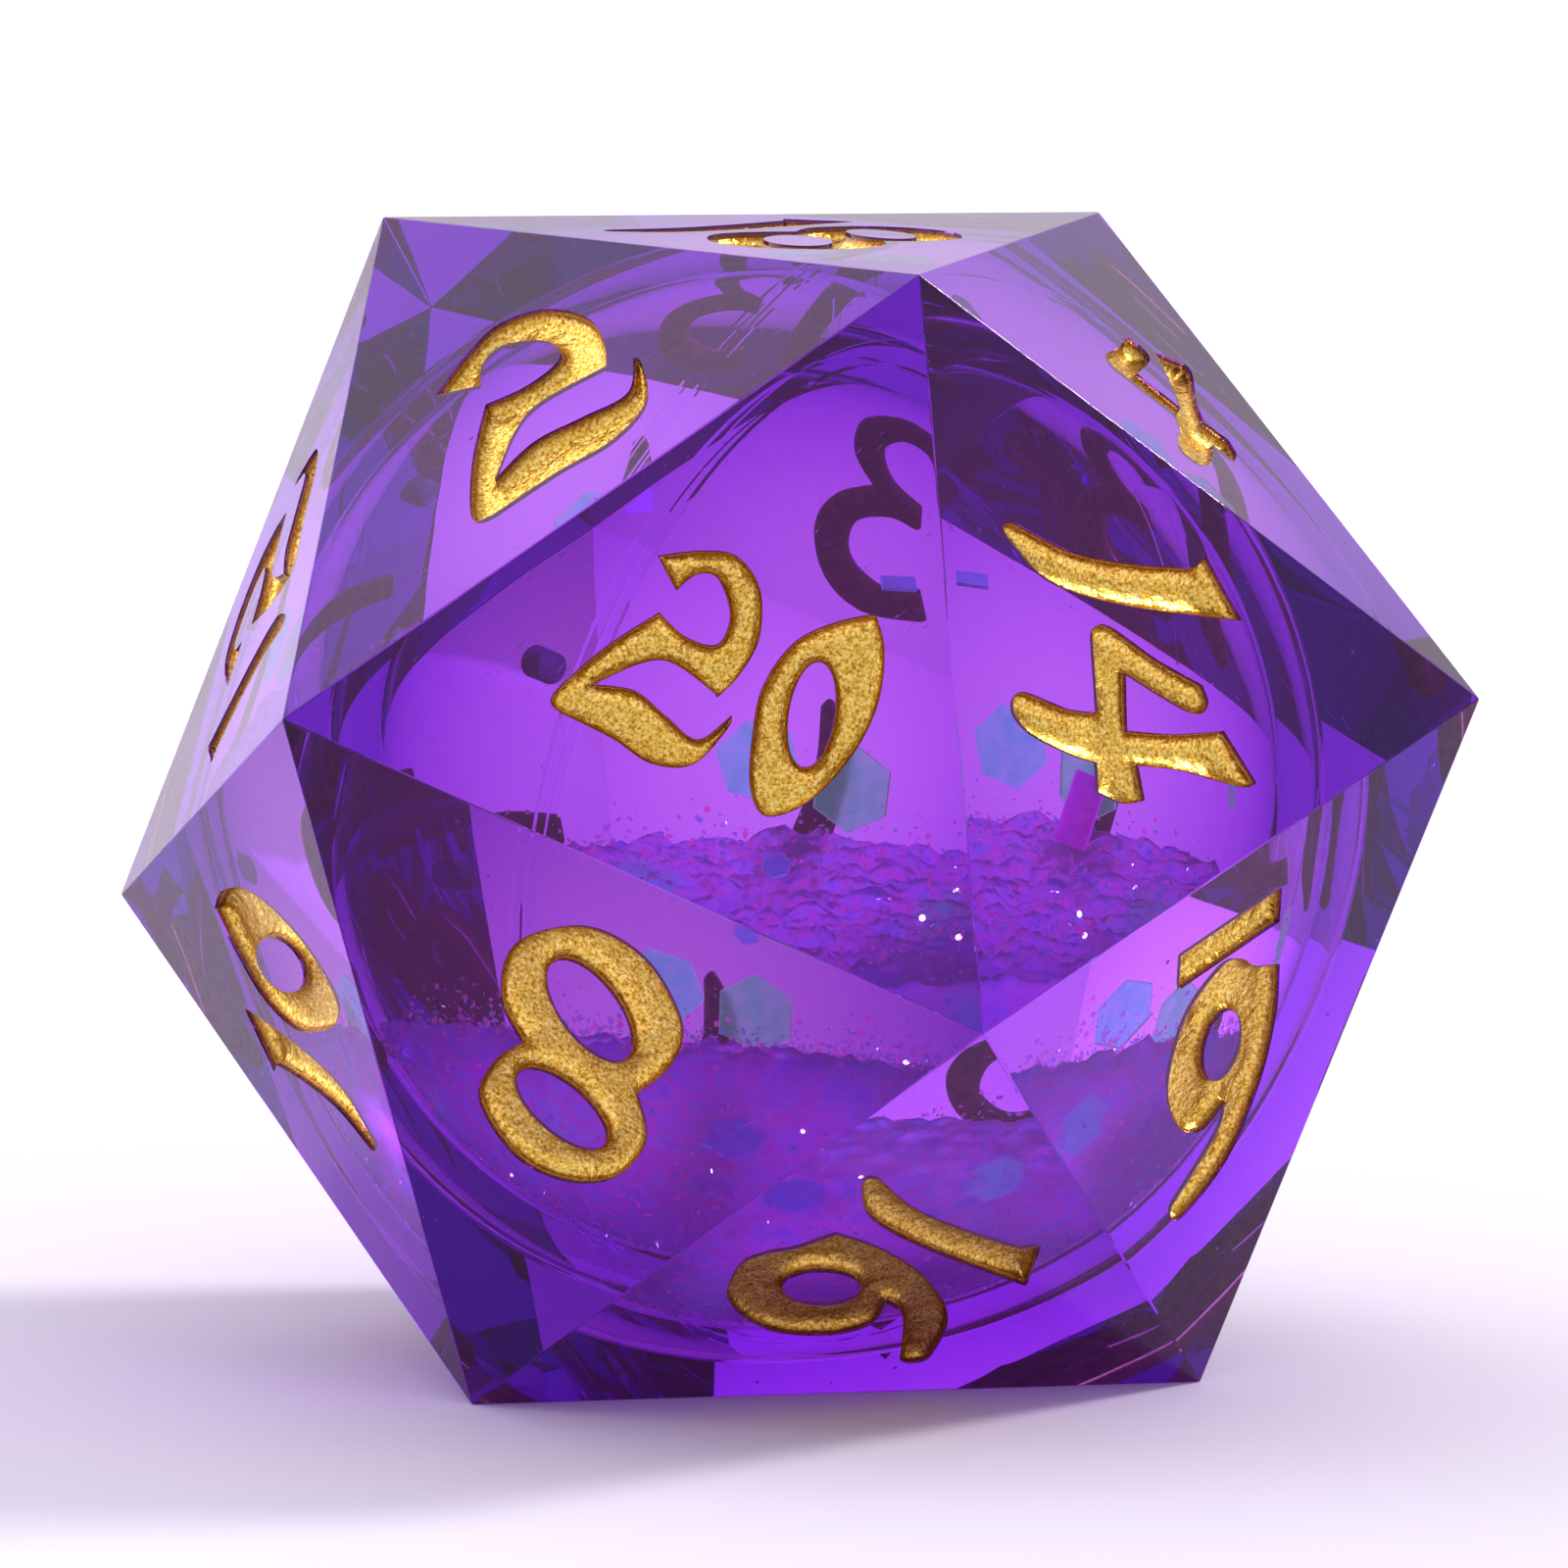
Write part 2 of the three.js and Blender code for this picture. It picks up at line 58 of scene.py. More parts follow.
FACE_TO_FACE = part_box("resin_upper_casting")[1].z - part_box("resin_lower_casting")[0].z
GOLDEN = (1 + math.sqrt(5)) / 2
EDGE = FACE_TO_FACE * math.sqrt(3) / GOLDEN**2
INRADIUS = FACE_TO_FACE / 2
CENTRE = Vector((0, 0, INRADIUS))

EDGE_POLISH = 0.07 * MM  # radius on every edge and corner
POLISH_STEPS = 4
GROOVE_DEPTH = 0.45 * MM
GROOVE_WALL = 0.26 * MM  # how far in from its rim a groove reaches full depth
INK_RIM = 0.035 * MM  # from the face down to the rim of the ink
INK_SAG = 0.27 * MM  # from its rim down to the middle of a wide ink line
INK_WALL = 0.34 * MM
INK_BITE = 0.02 * MM  # how far the ink's underside reaches into the resin
INK_RIM_THICKNESS = 0.045 * MM
INK_WAVES = 0.028 * MM
INK_WAVE_LENGTHS = (0.7 * MM, 0.3 * MM)
INK_RIPPLE_SHARE = 0.5  # of the shorter waves

CAPSULE_RADIUS = 8.5 * MM
CAPSULE_WALL = 0.8 * MM
LIQUID_RADIUS = CAPSULE_RADIUS - CAPSULE_WALL - 0.01 * MM
CAPSULE_AXIS = Vector((-0.63, 0.76, 0.15)).normalized()  # out through the rear shell
PLUG_AXIS = Vector((-0.31, 0.95, 0.06)).normalized()
PLUG_RADIUS = 0.35 * MM
SEAM_GAP = 0.05 * MM
RIM_LAP = 0.5 * MM
GLITTER_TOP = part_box("glitter_cloud")[1].z - CENTRE.z

# ---- Icosahedron ----

END_RING_RADIUS = EDGE / math.sqrt(3)
WAIST_RING_RADIUS = GOLDEN * END_RING_RADIUS
CORNER_RADIUS = EDGE * math.sqrt(GOLDEN * math.sqrt(5)) / 2
WAIST_RING_HEIGHT = math.sqrt(CORNER_RADIUS**2 - WAIST_RING_RADIUS**2)


def corner_ring(names, radius, height, first_angle):
    """Three corners at one height, a third of a turn apart, relative to the die's centre."""
    ring = {}
    for index, name in enumerate(names):
        angle = math.radians(first_angle + 120 * index)
        ring[name] = Vector((radius * math.cos(angle), radius * math.sin(angle), height))
    return ring


CORNERS = {
    **corner_ring("BHA", END_RING_RADIUS, INRADIUS, -90),
    **corner_ring("EKC", WAIST_RING_RADIUS, WAIST_RING_HEIGHT, -30),
    **corner_ring("DLI", WAIST_RING_RADIUS, -WAIST_RING_HEIGHT, -90),
    **corner_ring("GJF", END_RING_RADIUS, -INRADIUS, -30),
}

# The number on each face, and the face's corners. The numeral's top points to the first corner.
FACES = {
    1: "JKL", 2: "ABC", 3: "FGJ", 4: "HBE", 5: "KAH", 6: "GDE", 7: "IJK", 8: "FCD", 9: "LEG", 10: "ICF",
    11: "LEH", 12: "IAC", 13: "HKL", 14: "EBD", 15: "AKI", 16: "GDF", 17: "JIF", 18: "HAB", 19: "JGL",
    20: "BCD",
}


def face_frame(number):
    """Matrix from a face's own frame (x right, y to the numeral's top, z out) to the row frame."""
    corners = [CORNERS[name] for name in FACES[number]]
    middle = sum(corners, Vector()) / 3
    out = middle.normalized()
    up = (corners[0] - middle).normalized()
    right = up.cross(out)
    turn = Matrix((right, up, out)).transposed().to_4x4()
    return Matrix.Translation(CENTRE + middle) @ turn


FACE_FRAMES = {number: face_frame(number) for number in FACES}


def face_normal(number):
    return FACE_FRAMES[number].col[2].to_3d()


# ---- Digits ----

# Broad-nib digits, in hundredths of the die's edge, with x = y = 0 in the middle. An outline is a
# start point and runs; a run is a smooth curve through its points, and runs meet at corners.
# Counters are ellipses: centre x, centre y, half width, half height, tilt in degrees.
DIGITS = {
    "0": {
        "start": (2.5, 19.8),
        "runs": [[(6.5, 14.8), (9.5, 5.8), (9.3, -4.2), (6, -14.2), (0.5, -19.4), (-4, -16.2),
                  (-7.5, -8.2), (-9.7, 0.8), (-8, 9.8), (-3, 15.8), (2.5, 19.8)]],
        "counters": [(0, -0.4, 3.9, 9.2, 17)],
    },
    "1": {
        "start": (4.2, 19),
        "runs": [[(-4, 14)], [(-2.3, 12)], [(-2.1, 2), (-3, -8), (-6.2, -17)],
                 [(-5.4, -18.7), (-3, -17.2), (1.4, -11.5), (3.6, 0), (4.2, 19)]],
        "counters": [],
    },
    "2": {
        "start": (-9.5, 13.8),
        "runs": [[(-3, 17.6), (3, 19.2), (9, 15.6), (12.5, 8), (12.2, 1), (10.5, -4)],
                 [(1, -2), (-4, -4.2), (-10, -11)],
                 [(-3, -9), (4, -10.8), (10.5, -12.2), (14, -6)],
                 [(14.3, -8.6), (11.6, -16.4), (5, -19.2), (-3, -18), (-13, -17.6)],
                 [(-15.4, -15.4), (-11, -4.6), (-5, 5)],
                 [(1, 3), (6.4, 4), (6.3, 9.4), (1.6, 14.4), (-2, 13.6), (-4, 9.6)], [(-9.5, 13.8)]],
        "counters": [],
    },
    "3": {
        "start": (-9, 13.8),
        "runs": [[(-3, 17.6), (3, 19.2), (8.8, 15.6), (8.8, 8.8), (3.6, 3.2)],
                 [(9, -1.4), (10.4, -8), (6.4, -15.6), (-1, -19), (-10.5, -16.4)], [(-8, -11.8)],
                 [(-2, -14), (4, -10.6), (4.4, -4.4), (-0.6, -0.8), (-5, -1.2)], [(-4, 2.8)],
                 [(1.4, 5.4), (4.2, 10.6), (1.4, 14.4), (-2.4, 13.8), (-4.6, 10)], [(-9, 13.8)]],
        "counters": [],
    },
    "4": {
        "start": (-5.5, 11.5),
        "runs": [[(-3, 12.2), (-1.7, 9.4), (-6.2, -0.9)], [(1.5, -1.5)], [(1.4, 6), (0.4, 14.4)], [(7, 19)],
                 [(7.7, 16.6), (6.2, 7), (6, -0.2)], [(10.6, 0.4)], [(11.2, -3), (10, -7)], [(6.1, -6.8)],
                 [(5.4, -10.4), (3, -17), (0, -19.6), (-2.5, -18), (-0.8, -11), (-0.6, -6)], [(-11.5, -5.8)],
                 [(-12.4, -3.2), (-8.4, 4.4), (-5.5, 11.5)]],
        "counters": [],
    },
    "5": {
        "start": (-5.2, 17.8),
        "runs": [[(2, 17), (9, 20)], [(8.2, 14.6), (3.6, 12), (-2.6, 12.6)], [(-4, 6)],
                 [(3, 5.2), (8.8, 0.4), (8.8, -8), (4, -15.6), (-3, -19), (-10.5, -16.4)], [(-9, -12)],
                 [(-3, -13.8), (3.6, -9.8), (3.6, -2.6), (-1.6, 0.6), (-8.6, 0.4)], [(-5.2, 17.8)]],
        "counters": [],
    },
    "6": {
        "start": (-11, -13),
        "runs": [[(-6, -15.4), (-3, -18.2), (1, -19.4), (8, -15), (11, -5.4), (8.4, 3), (3.4, 6.6),
                  (-1.4, 4.6)], [(0, 9), (8.6, 16.4)],
                 [(8.4, 18.4), (5.6, 19.4), (-2.8, 14.6), (-8.6, 5), (-11, -5), (-11, -13)]],
        "counters": [(0, -5.6, 3.9, 5.7, 8)],
    },
    "7": {
        "start": (-9.6, 17.8),
        "runs": [[(-3, 15.8), (4, 16.4), (10, 19.6)], [(10.2, 15.4), (2.6, -2), (1, -18.8)], [(-4, -18.2)],
                 [(-3.6, -5), (3.2, 10.8)], [(-3, 10.6), (-10.4, 11)], [(-9.6, 17.8)]],
        "counters": [],
    },
    "8": {
        "start": (-9, 1.8),
        "runs": [[(-12, 8), (-9.6, 15), (-3.6, 18.8), (4, 18.6), (10.8, 12.8), (10.4, 6.4), (7.5, 1.8)],
                 [(12, -3.4), (12, -12), (4, -18.6), (-5, -17.8), (-12, -11), (-12.2, -4.4), (-9, 1.8)]],
        "counters": [(0, 8.9, 7.2, 3.9, -20), (0.2, -7, 7.9, 4.5, -38)],
    },
}


def half_turned(digit):
    return {
        "start": (-digit["start"][0], -digit["start"][1]),
        "runs": [[(-x, -y) for x, y in run] for run in digit["runs"]],
        "counters": [(-x, -y, *rest) for x, y, *rest in digit["counters"]],
    }


DIGITS["9"] = half_turned(DIGITS["6"])

DIGIT_SPACE = 2.2  # between two digits, in hundredths of the edge
NUMERAL_WIDTH_LIMIT = 39
UNDERLINE_DROP = 16.6
UNDERLINE_SIZE = (20.4, 5.6)
UNDERLINED_DIGIT_RISE = 6.6
NUMERAL_DROP = {13: 4}  # a numeral that sits below the centre of its face
OUTLINE_STEP = 0.7  # between two points of a finished outline, in hundredths of the edge


def spline(points):
    """Points of a Catmull-Rom curve through the given points, without the last one."""
    made = []
    last = len(points) - 1
    for index in range(last):
        p0, p1, p2, p3 = (points[min(max(index + k, 0), last)] for k in (-1, 0, 1, 2))
        steps = max(1, math.ceil(math.dist(p1, p2) / OUTLINE_STEP))
        for step in range(steps):
            t = step / steps
            made.append(tuple(
                (2 * b - 2 * c + (c - a) / 2 + (d - b) / 2) * t**3
                + (-3 * b + 3 * c - (c - a) - (d - b) / 2) * t**2
                + (c - a) / 2 * t + b
                for a, b, c, d in zip(p0, p1, p2, p3)
            ))
    return made


def straight(start, end):
    steps = max(1, math.ceil(math.dist(start, end) / OUTLINE_STEP))
    return [tuple(np.add(start, np.subtract(end, start) * (k / steps))) for k in range(steps)]


def digit_outline(digit):
    points = []
    pen = digit["start"]
    for run in digit["runs"]:
        points += straight(pen, run[0]) if len(run) == 1 else spline([pen, *run])
        pen = run[-1]
    return np.array(points)


def counter_outline(counter):
    x, y, half_width, half_height, tilt = counter
    steps = math.ceil(math.pi * (half_width + half_height) / OUTLINE_STEP)
    turn = math.radians(tilt)
    angles = np.arange(steps) * 2 * math.pi / steps
    across, along = half_width * np.cos(angles), half_height * np.sin(angles)
    return np.column_stack((
        x + across * math.cos(turn) - along * math.sin(turn),
        y + across * math.sin(turn) + along * math.cos(turn),
    ))


def underline_outline():
    x, y = UNDERLINE_SIZE[0] / 2, UNDERLINE_SIZE[1] / 2
    corners = [(-x, -y), (x, -y), (x, y), (-x, y)]
    points = []
    for index, corner in enumerate(corners):
        points += straight(corner, corners[(index + 1) % 4])
    return np.array(points) - (0, UNDERLINE_DROP)


def numeral_strokes(number):
    """Every separate stroke of a numeral as (CAD node, rings), rings in metres in the face's frame."""
    digits = [DIGITS[character] for character in str(number)]
    spans = [(min(o[:, 0]), max(o[:, 0])) for o in map(digit_outline, digits)]
    total = sum(high - low for low, high in spans) + DIGIT_SPACE * (len(digits) - 1)
    scale = min(1, NUMERAL_WIDTH_LIMIT / total)
    underlined = number in (6, 9)
    rise = (UNDERLINED_DIGIT_RISE if underlined else 0) - NUMERAL_DROP.get(number, 0)
    strokes = []
    pen = -total / 2
    for index, (digit, (low, high)) in enumerate(zip(digits, spans)):
        shift = (pen - low, rise)
        rings = [digit_outline(digit), *map(counter_outline, digit["counters"])]
        rings = [(ring + shift) * scale * EDGE / 100 for ring in rings]
        strokes.append((f"numeral_{number}_digit_{index + 1}", rings))
        pen += high - low + DIGIT_SPACE
    if underlined:
        strokes.append((f"numeral_{number}_underline", [underline_outline() * EDGE / 100]))
    return strokes


# ---- Surfaces of grooves and ink ----

RING_DISTANCES = [0.03 * MM, 0.075 * MM, 0.14 * MM, 0.22 * MM]  # from an outline, inside a groove
ROW_CLEARANCE = 0.93  # a point is kept if no outline is nearer than this share of its row's distance
FLOOR_GRID = 0.16 * MM
CDT_UNIT = MM  # the triangulation works in numbers near 1
CDT_EPSILON = 1e-6


def signed_area(ring):
    x, y = ring[:, 0], ring[:, 1]
    return 0.5 * float(np.sum(x * np.roll(y, -1) - np.roll(x, -1) * y))


def inward_normals(ring, is_counter):
    """Unit normals at a ring's points, towards the groove."""
    along = np.roll(ring, -1, 0) - np.roll(ring, 1, 0)
    along /= np.linalg.norm(along, axis=1)[:, None]
    turn = 1 if (signed_area(ring) > 0) != is_counter else -1
    return turn * np.column_stack((-along[:, 1], along[:, 0]))


def outline_distance(points, rings):
    """Distance of each point to the nearest side of any ring."""
    best = np.full(len(points), np.inf)
    for ring in rings:
        start, side = ring, np.roll(ring, -1, 0) - ring
        away = points[:, None, :] - start[None, :, :]
        share = np.clip((away * side).sum(2) / (side**2).sum(1), 0, 1)
        gap = away - share[:, :, None] * side
        best = np.minimum(best, np.sqrt((gap**2).sum(2)).min(1))
    return best


def is_inside(points, rings):
    """True where a point is inside an odd number of rings."""
    inside = np.zeros(len(points), bool)
    for ring in rings:
        x0, y0 = ring[:, 0], ring[:, 1]
        x1, y1 = np.roll(x0, -1), np.roll(y0, -1)
        px, py = points[:, :1], points[:, 1:]
        crosses = (y0 > py) != (y1 > py)
        with np.errstate(divide="ignore", invalid="ignore"):
            reach = (x1 - x0) * (py - y0) / (y1 - y0) + x0
        inside ^= ((crosses & (px < reach)).sum(1) % 2).astype(bool)
    return inside


def groove_points(rings):
    """Points inside a groove: rows that follow its outline, then a grid on its floor."""
    made = []
    for distance in RING_DISTANCES:
        for index, ring in enumerate(rings):
            points = ring + distance * inward_normals(ring, index > 0)
            keep = outline_distance(points, rings) > ROW_CLEARANCE * distance
            made.append(points[keep])
    low, high = rings[0].min(0), rings[0].max(0)
    xs = np.arange(low[0], high[0], FLOOR_GRID)
    ys = np.arange(low[1], high[1], FLOOR_GRID)
    grid = np.array([(x + (row % 2) * FLOOR_GRID / 2, y) for row, y in enumerate(ys) for x in xs])
    grid = grid[is_inside(grid, rings)]
    made.append(grid[outline_distance(grid, rings) > RING_DISTANCES[-1] + FLOOR_GRID / 2])
    return np.vstack(made)


def triangulate(rings, loose, border):
    """Triangles over border, with the sides of rings kept. Returns points and triangles."""
    points, sides = [], []
    for ring in [*rings, border]:
        first = len(points)
        points += list(ring)
        sides += [(first + k, first + (k + 1) % len(ring)) for k in range(len(ring))]
    points += list(loose)
    flat = [Vector(p) / CDT_UNIT for p in points]
    corners, _, triangles, *_ = delaunay_2d_cdt(flat, sides, [], 0, CDT_EPSILON)
    return np.array([tuple(c) for c in corners]) * CDT_UNIT, np.array(triangles)


def dish(distance, wall, depth):
    """Depth of a round-walled trough at a distance from its rim."""
    share = np.clip(distance / wall, 0, 1)
    return depth * np.sqrt(1 - (1 - share) ** 2)


# ---- Mesh building ----

WELD = 0.5e-6  # points nearer than this are one


def new_piece(name, points, faces, smooth, material, body, replaced=()):
    """A mesh object from points in the row frame, riding on a CAD body."""
    mesh = bpy.data.meshes.new(name)
    mesh.from_pydata([tuple(p) for p in points], [], [list(map(int, f)) for f in faces])
    mesh.polygons.foreach_set("use_smooth", np.broadcast_to(smooth, len(faces)).astype(bool))
    mesh.update()
    piece = bpy.data.objects.new(name, mesh)
    bpy.context.scene.collection.objects.link(piece)
    mesh.materials.append(material)
    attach(piece, body)
    if replaced:
        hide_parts(*replaced)
    return piece


def weld(piece):
    """Joins vertices at the same place and turns every face outwards."""
    made = bmesh.new()
    made.from_mesh(piece.data)
    bmesh.ops.remove_doubles(made, verts=made.verts, dist=WELD)
    bmesh.ops.recalc_face_normals(made, faces=made.faces)
    made.to_mesh(piece.data)
    made.free()


# ---- Materials ----

DYE_COLOUR = (0.6, 0.08, 0.845)  # what the dye lets through
DYE_DENSITY = 280  # per metre


class Finish:
    """A material in the making: its Principled shader and short ways to add nodes."""

    def __init__(self, name):
        self.material = bpy.data.materials.new(name)
        self.material.use_nodes = True
        self.tree = self.material.node_tree
        self.shader = self.tree.nodes["Principled BSDF"]
        self.place = self.node("ShaderNodeTexCoord").outputs["Object"]

    def node(self, kind, **settings):
        made = self.tree.nodes.new(kind)
        for key, value in settings.items():
            setattr(made, key, value)
        return made

    def link(self, output, target):
        self.tree.links.new(output, target)

    def set(self, **values):
        for key, value in values.items():
            self.shader.inputs[key.replace("_", " ")].default_value = value

    def noise(self, size, detail=3, roughness=0.5, stretch=(1, 1, 1)):
        """Noise with features of that size in metres."""
        place = self.place
        if stretch != (1, 1, 1):
            scaling = self.node("ShaderNodeMapping")
            scaling.inputs["Scale"].default_value = stretch
            self.link(place, scaling.inputs["Vector"])
            place = scaling.outputs["Vector"]
        made = self.node("ShaderNodeTexNoise")
        made.inputs["Scale"].default_value = 1 / size
        made.inputs["Detail"].default_value = detail
        made.inputs["Roughness"].default_value = roughness
        self.link(place, made.inputs["Vector"])
        return made.outputs["Fac"]

    def cells(self, size):
        """A random colour for every cell of that size in metres."""
        made = self.node("ShaderNodeTexVoronoi")
        made.inputs["Scale"].default_value = 1 / size
        self.link(self.place, made.inputs["Vector"])
        return made.outputs["Color"]

    def ramp(self, value, *stops):
        """Colour ramp through (position, colour) stops."""
        made = self.node("ShaderNodeValToRGB")
        elements = made.color_ramp.elements
        while len(elements) < len(stops):
            elements.new(0.5)
        for element, (position, colour) in zip(elements, stops):
            element.position = position
            element.color = (*colour, 1)
        self.link(value, made.inputs["Fac"])
        return made.outputs["Color"]

    def range(self, value, low, high, new_low, new_high):
        made = self.node("ShaderNodeMapRange")
        for key, number in zip(("From Min", "From Max", "To Min", "To Max"), (low, high, new_low, new_high)):
            made.inputs[key].default_value = number
        self.link(value, made.inputs["Value"])
        return made.outputs["Result"]

    def product(self, one, two):
        made = self.node("ShaderNodeMath", operation="MULTIPLY")
        self.link(one, made.inputs[0])
        self.link(two, made.inputs[1])
        return made.outputs["Value"]

    def mix(self, share, one, two):
        """Colour mix; one and two are colours or outputs."""
        made = self.node("ShaderNodeMix", data_type="RGBA")
        self.link(share, made.inputs["Factor"])
        for socket, value in ((made.inputs[6], one), (made.inputs[7], two)):
            if isinstance(value, tuple):
                socket.default_value = (*value, 1)
            else:
                self.link(value, socket)
        return made.outputs[2]

    def bump(self, height, depth, strength=1.0):
        """Bump of that depth in metres, added on top of an earlier one."""
        made = self.node("ShaderNodeBump")
        made.inputs["Distance"].default_value = depth
        made.inputs["Strength"].default_value = strength
        self.link(height, made.inputs["Height"])
        normal = self.shader.inputs["Normal"]
        if normal.is_linked:
            self.link(normal.links[0].from_socket, made.inputs["Normal"])
        self.link(made.outputs["Normal"], normal)

    def absorb_violet(self):
        """The violet dye, the same in the resin and in the capsule's plastic."""
        made = self.node("ShaderNodeVolumeAbsorption")
        made.inputs["Color"].default_value = (*DYE_COLOUR, 1)
        made.inputs["Density"].default_value = DYE_DENSITY
        self.link(made.outputs["Volume"], self.tree.nodes["Material Output"].inputs["Volume"])


RESIN_INDEX = 1.54
BOND_INDEX = 1.003  # of the resin against the bond, which is all but the same
SHELL_INDEX = 1.51
LIQUID_INDEX = 1.49


def resin_finish():
    """Polished clear violet resin, faintly waved and scratched outside, bonded to the capsule inside, with a
    faint painted glow.
    """
    finish = Finish("violet_resin")
    finish.set(Transmission_Weight=1.0, Base_Color=(1, 1, 1, 1))
    outside = finish.node("ShaderNodeAttribute", attribute_name="outside").outputs["Fac"]
    finish.link(finish.range(outside, 0, 1, BOND_INDEX, RESIN_INDEX), finish.shader.inputs["IOR"])
    patches = finish.noise(2.5 * MM)
    roughness = finish.product(outside, finish.range(patches, 0.35, 0.75, 0.0, 0.012))
    finish.link(roughness, finish.shader.inputs["Roughness"])
    finish.bump(finish.noise(1.6 * MM, detail=1), 0.004 * MM)
    hairlines = finish.noise(0.5 * MM, detail=2, stretch=(1, 14, 2))
    finish.bump(finish.range(hairlines, 0.68, 0.75, 0, 1), 0.0006 * MM)
    finish.set(Emission_Color=(1.0, 0.08, 0.75, 1), Emission_Strength=0.032)  # painted glow: the resin glows faintly pink in place of light scattered in it
    finish.absorb_violet()
    return finish.material


def gold_finish():
    """Gold paint with coarse metal flakes, darker brown towards the rim of each ink line."""
    finish = Finish("gold_ink")
    grain = finish.noise(0.07 * MM, detail=3, roughness=0.7)
    colour = finish.ramp(
        grain, (0.34, (0.48, 0.25, 0.03)), (0.5, (0.88, 0.6, 0.13)), (0.66, (1.0, 0.88, 0.42)),
    )
    rim = finish.node("ShaderNodeAttribute", attribute_name="rim_distance").outputs["Fac"]
    # darker brown within 0.08 mm of the ink's rim
    near_rim = finish.range(rim, 0.0, 0.08 * MM, 1.0, 0.0)
    finish.link(finish.mix(near_rim, colour, (0.3, 0.09, 0.015)), finish.shader.inputs["Base Color"])
    finish.set(Metallic=1.0)
    finish.link(finish.range(grain, 0.3, 0.7, 0.4, 0.15), finish.shader.inputs["Roughness"])
    finish.bump(finish.noise(0.26 * MM, detail=3), 0.06 * MM, 0.9)
    finish.bump(grain, 0.014 * MM, 0.6)
    return finish.material


def ink_back_finish():
    """Underside of the ink as it shows through the resin: binder with little metal in it."""
    finish = Finish("ink_underside")
    blotches = finish.noise(0.3 * MM, detail=3)
    colour = finish.ramp(blotches, (0.3, (0.3, 0.16, 0.2)), (0.7, (0.5, 0.3, 0.26)))
    finish.link(colour, finish.shader.inputs["Base Color"])
    finish.set(Roughness=0.6)
    return finish.material


def shell_finish():
    """Violet moulded plastic, nearly the same index as the resin, with moulding flow marks."""
    finish = Finish("capsule_plastic")
    finish.set(IOR=SHELL_INDEX / RESIN_INDEX, Transmission_Weight=1.0, Base_Color=(0.97, 0.95, 1, 1))
    flow = finish.noise(1.5 * MM, detail=2, stretch=(1, 1, 3))
    finish.link(finish.range(flow, 0.3, 0.8, 0.0, 0.01), finish.shader.inputs["Roughness"])
    finish.bump(flow, 0.01 * MM, 0.5)
    finish.absorb_violet()
    return finish.material


def plug_finish():
    """Plastic plug in a ring of glue, duller and darker than the shell."""
    finish = Finish("plug_plastic")
    finish.set(IOR=1.06, Transmission_Weight=0.7, Roughness=0.25)
    cloudy = finish.noise(0.4 * MM)
    colour = finish.ramp(cloudy, (0.3, (0.22, 0.12, 0.42)), (0.7, (0.42, 0.28, 0.7)))
    finish.link(colour, finish.shader.inputs["Base Color"])
    return finish.material


def liquid_finish():
    """Clear liquid with faint swirls."""
    finish = Finish("core_liquid")
    finish.set(IOR=LIQUID_INDEX / RESIN_INDEX, Transmission_Weight=1.0, Roughness=0.0)
    finish.set(Base_Color=(1, 1, 1, 1))
    swirls = finish.noise(2.2 * MM, detail=1)
    finish.bump(swirls, 0.006 * MM, 0.4)
    return finish.material


def flake_finish(name, colour, glint, painted_glow=0.0):
    """Iridescent film: colour shifts in patches, most of the light comes through, some is thrown back, and a
    faint glow in its own colour is a painted reflection.
    """
    finish = Finish(name)
    patches = finish.noise(0.35 * MM, detail=2)
    finish.link(finish.ramp(patches, (0.35, colour), (0.65, glint)), finish.shader.inputs["Base Color"])
    finish.set(Transmission_Weight=0.9, Roughness=0.3, IOR=1.12)
    finish.set(Thin_Film_Thickness=420.0, Thin_Film_IOR=1.45)
    # painted reflection: the film glows faintly in its own colour
    finish.set(Emission_Color=(*colour, 1), Emission_Strength=painted_glow)
    finish.bump(finish.noise(0.12 * MM), 0.006 * MM, 0.5)
    return finish.material


def glint_finish():
    """Bare metal glitter with painted glints: it glows bluish white in place of the lamp's light thrown back.
    """
    finish = Finish("speck_silver_painted_glint")
    tint = finish.noise(0.4 * MM, detail=2)
    colour = finish.ramp(tint, (0.35, (0.75, 0.8, 1.0)), (0.65, (1.0, 0.85, 0.95)))
    finish.link(colour, finish.shader.inputs["Base Color"])
    # painted glint: a strong bluish white glow stands in for the lamp's reflection
    finish.set(Metallic=1.0, Roughness=0.22, Emission_Color=(0.6, 1.0, 0.8, 1), Emission_Strength=4.5)
    return finish.material


def haze_finish():
    """Settled shimmer: violet and magenta clouds with a fine facetted grain that scatters light forward."""
    finish = Finish("glitter_settled")
    clouds = finish.noise(0.9 * MM, detail=3)
    colour = finish.ramp(
        clouds,
        (0.3, (0.5, 0.4, 1.0)), (0.44, (0.8, 0.62, 1.0)), (0.54, (1.0, 0.3, 0.78)), (0.64, (0.65, 0.55, 1.0)),
    )
    teal = finish.range(finish.noise(0.55 * MM, detail=2), 0.6, 0.7, 0, 0.6)
    finish.link(finish.mix(teal, colour, (0.35, 0.8, 0.95)), finish.shader.inputs["Base Color"])
    finish.set(Transmission_Weight=0.92, Roughness=0.5, IOR=1.12)
    finish.set(Emission_Color=(0.4, 0.15, 1.0, 1), Emission_Strength=0.05)  # painted glow: the haze glows faintly violet in place of light scattered among the flakes
    finish.bump(finish.cells(0.11 * MM), 0.03 * MM, 0.6)
    return finish.material


def bubble_finish():
    """Air in the resin: the index steps down at its wall."""
    finish = Finish("trapped_air")
    finish.set(IOR=1 / RESIN_INDEX, Transmission_Weight=1.0, Base_Color=(1, 1, 1, 1))
    finish.link(finish.range(finish.noise(0.2 * MM), 0.3, 0.7, 0.0, 0.05), finish.shader.inputs["Roughness"])
    return finish.material


# ---- Resin body and ink ----


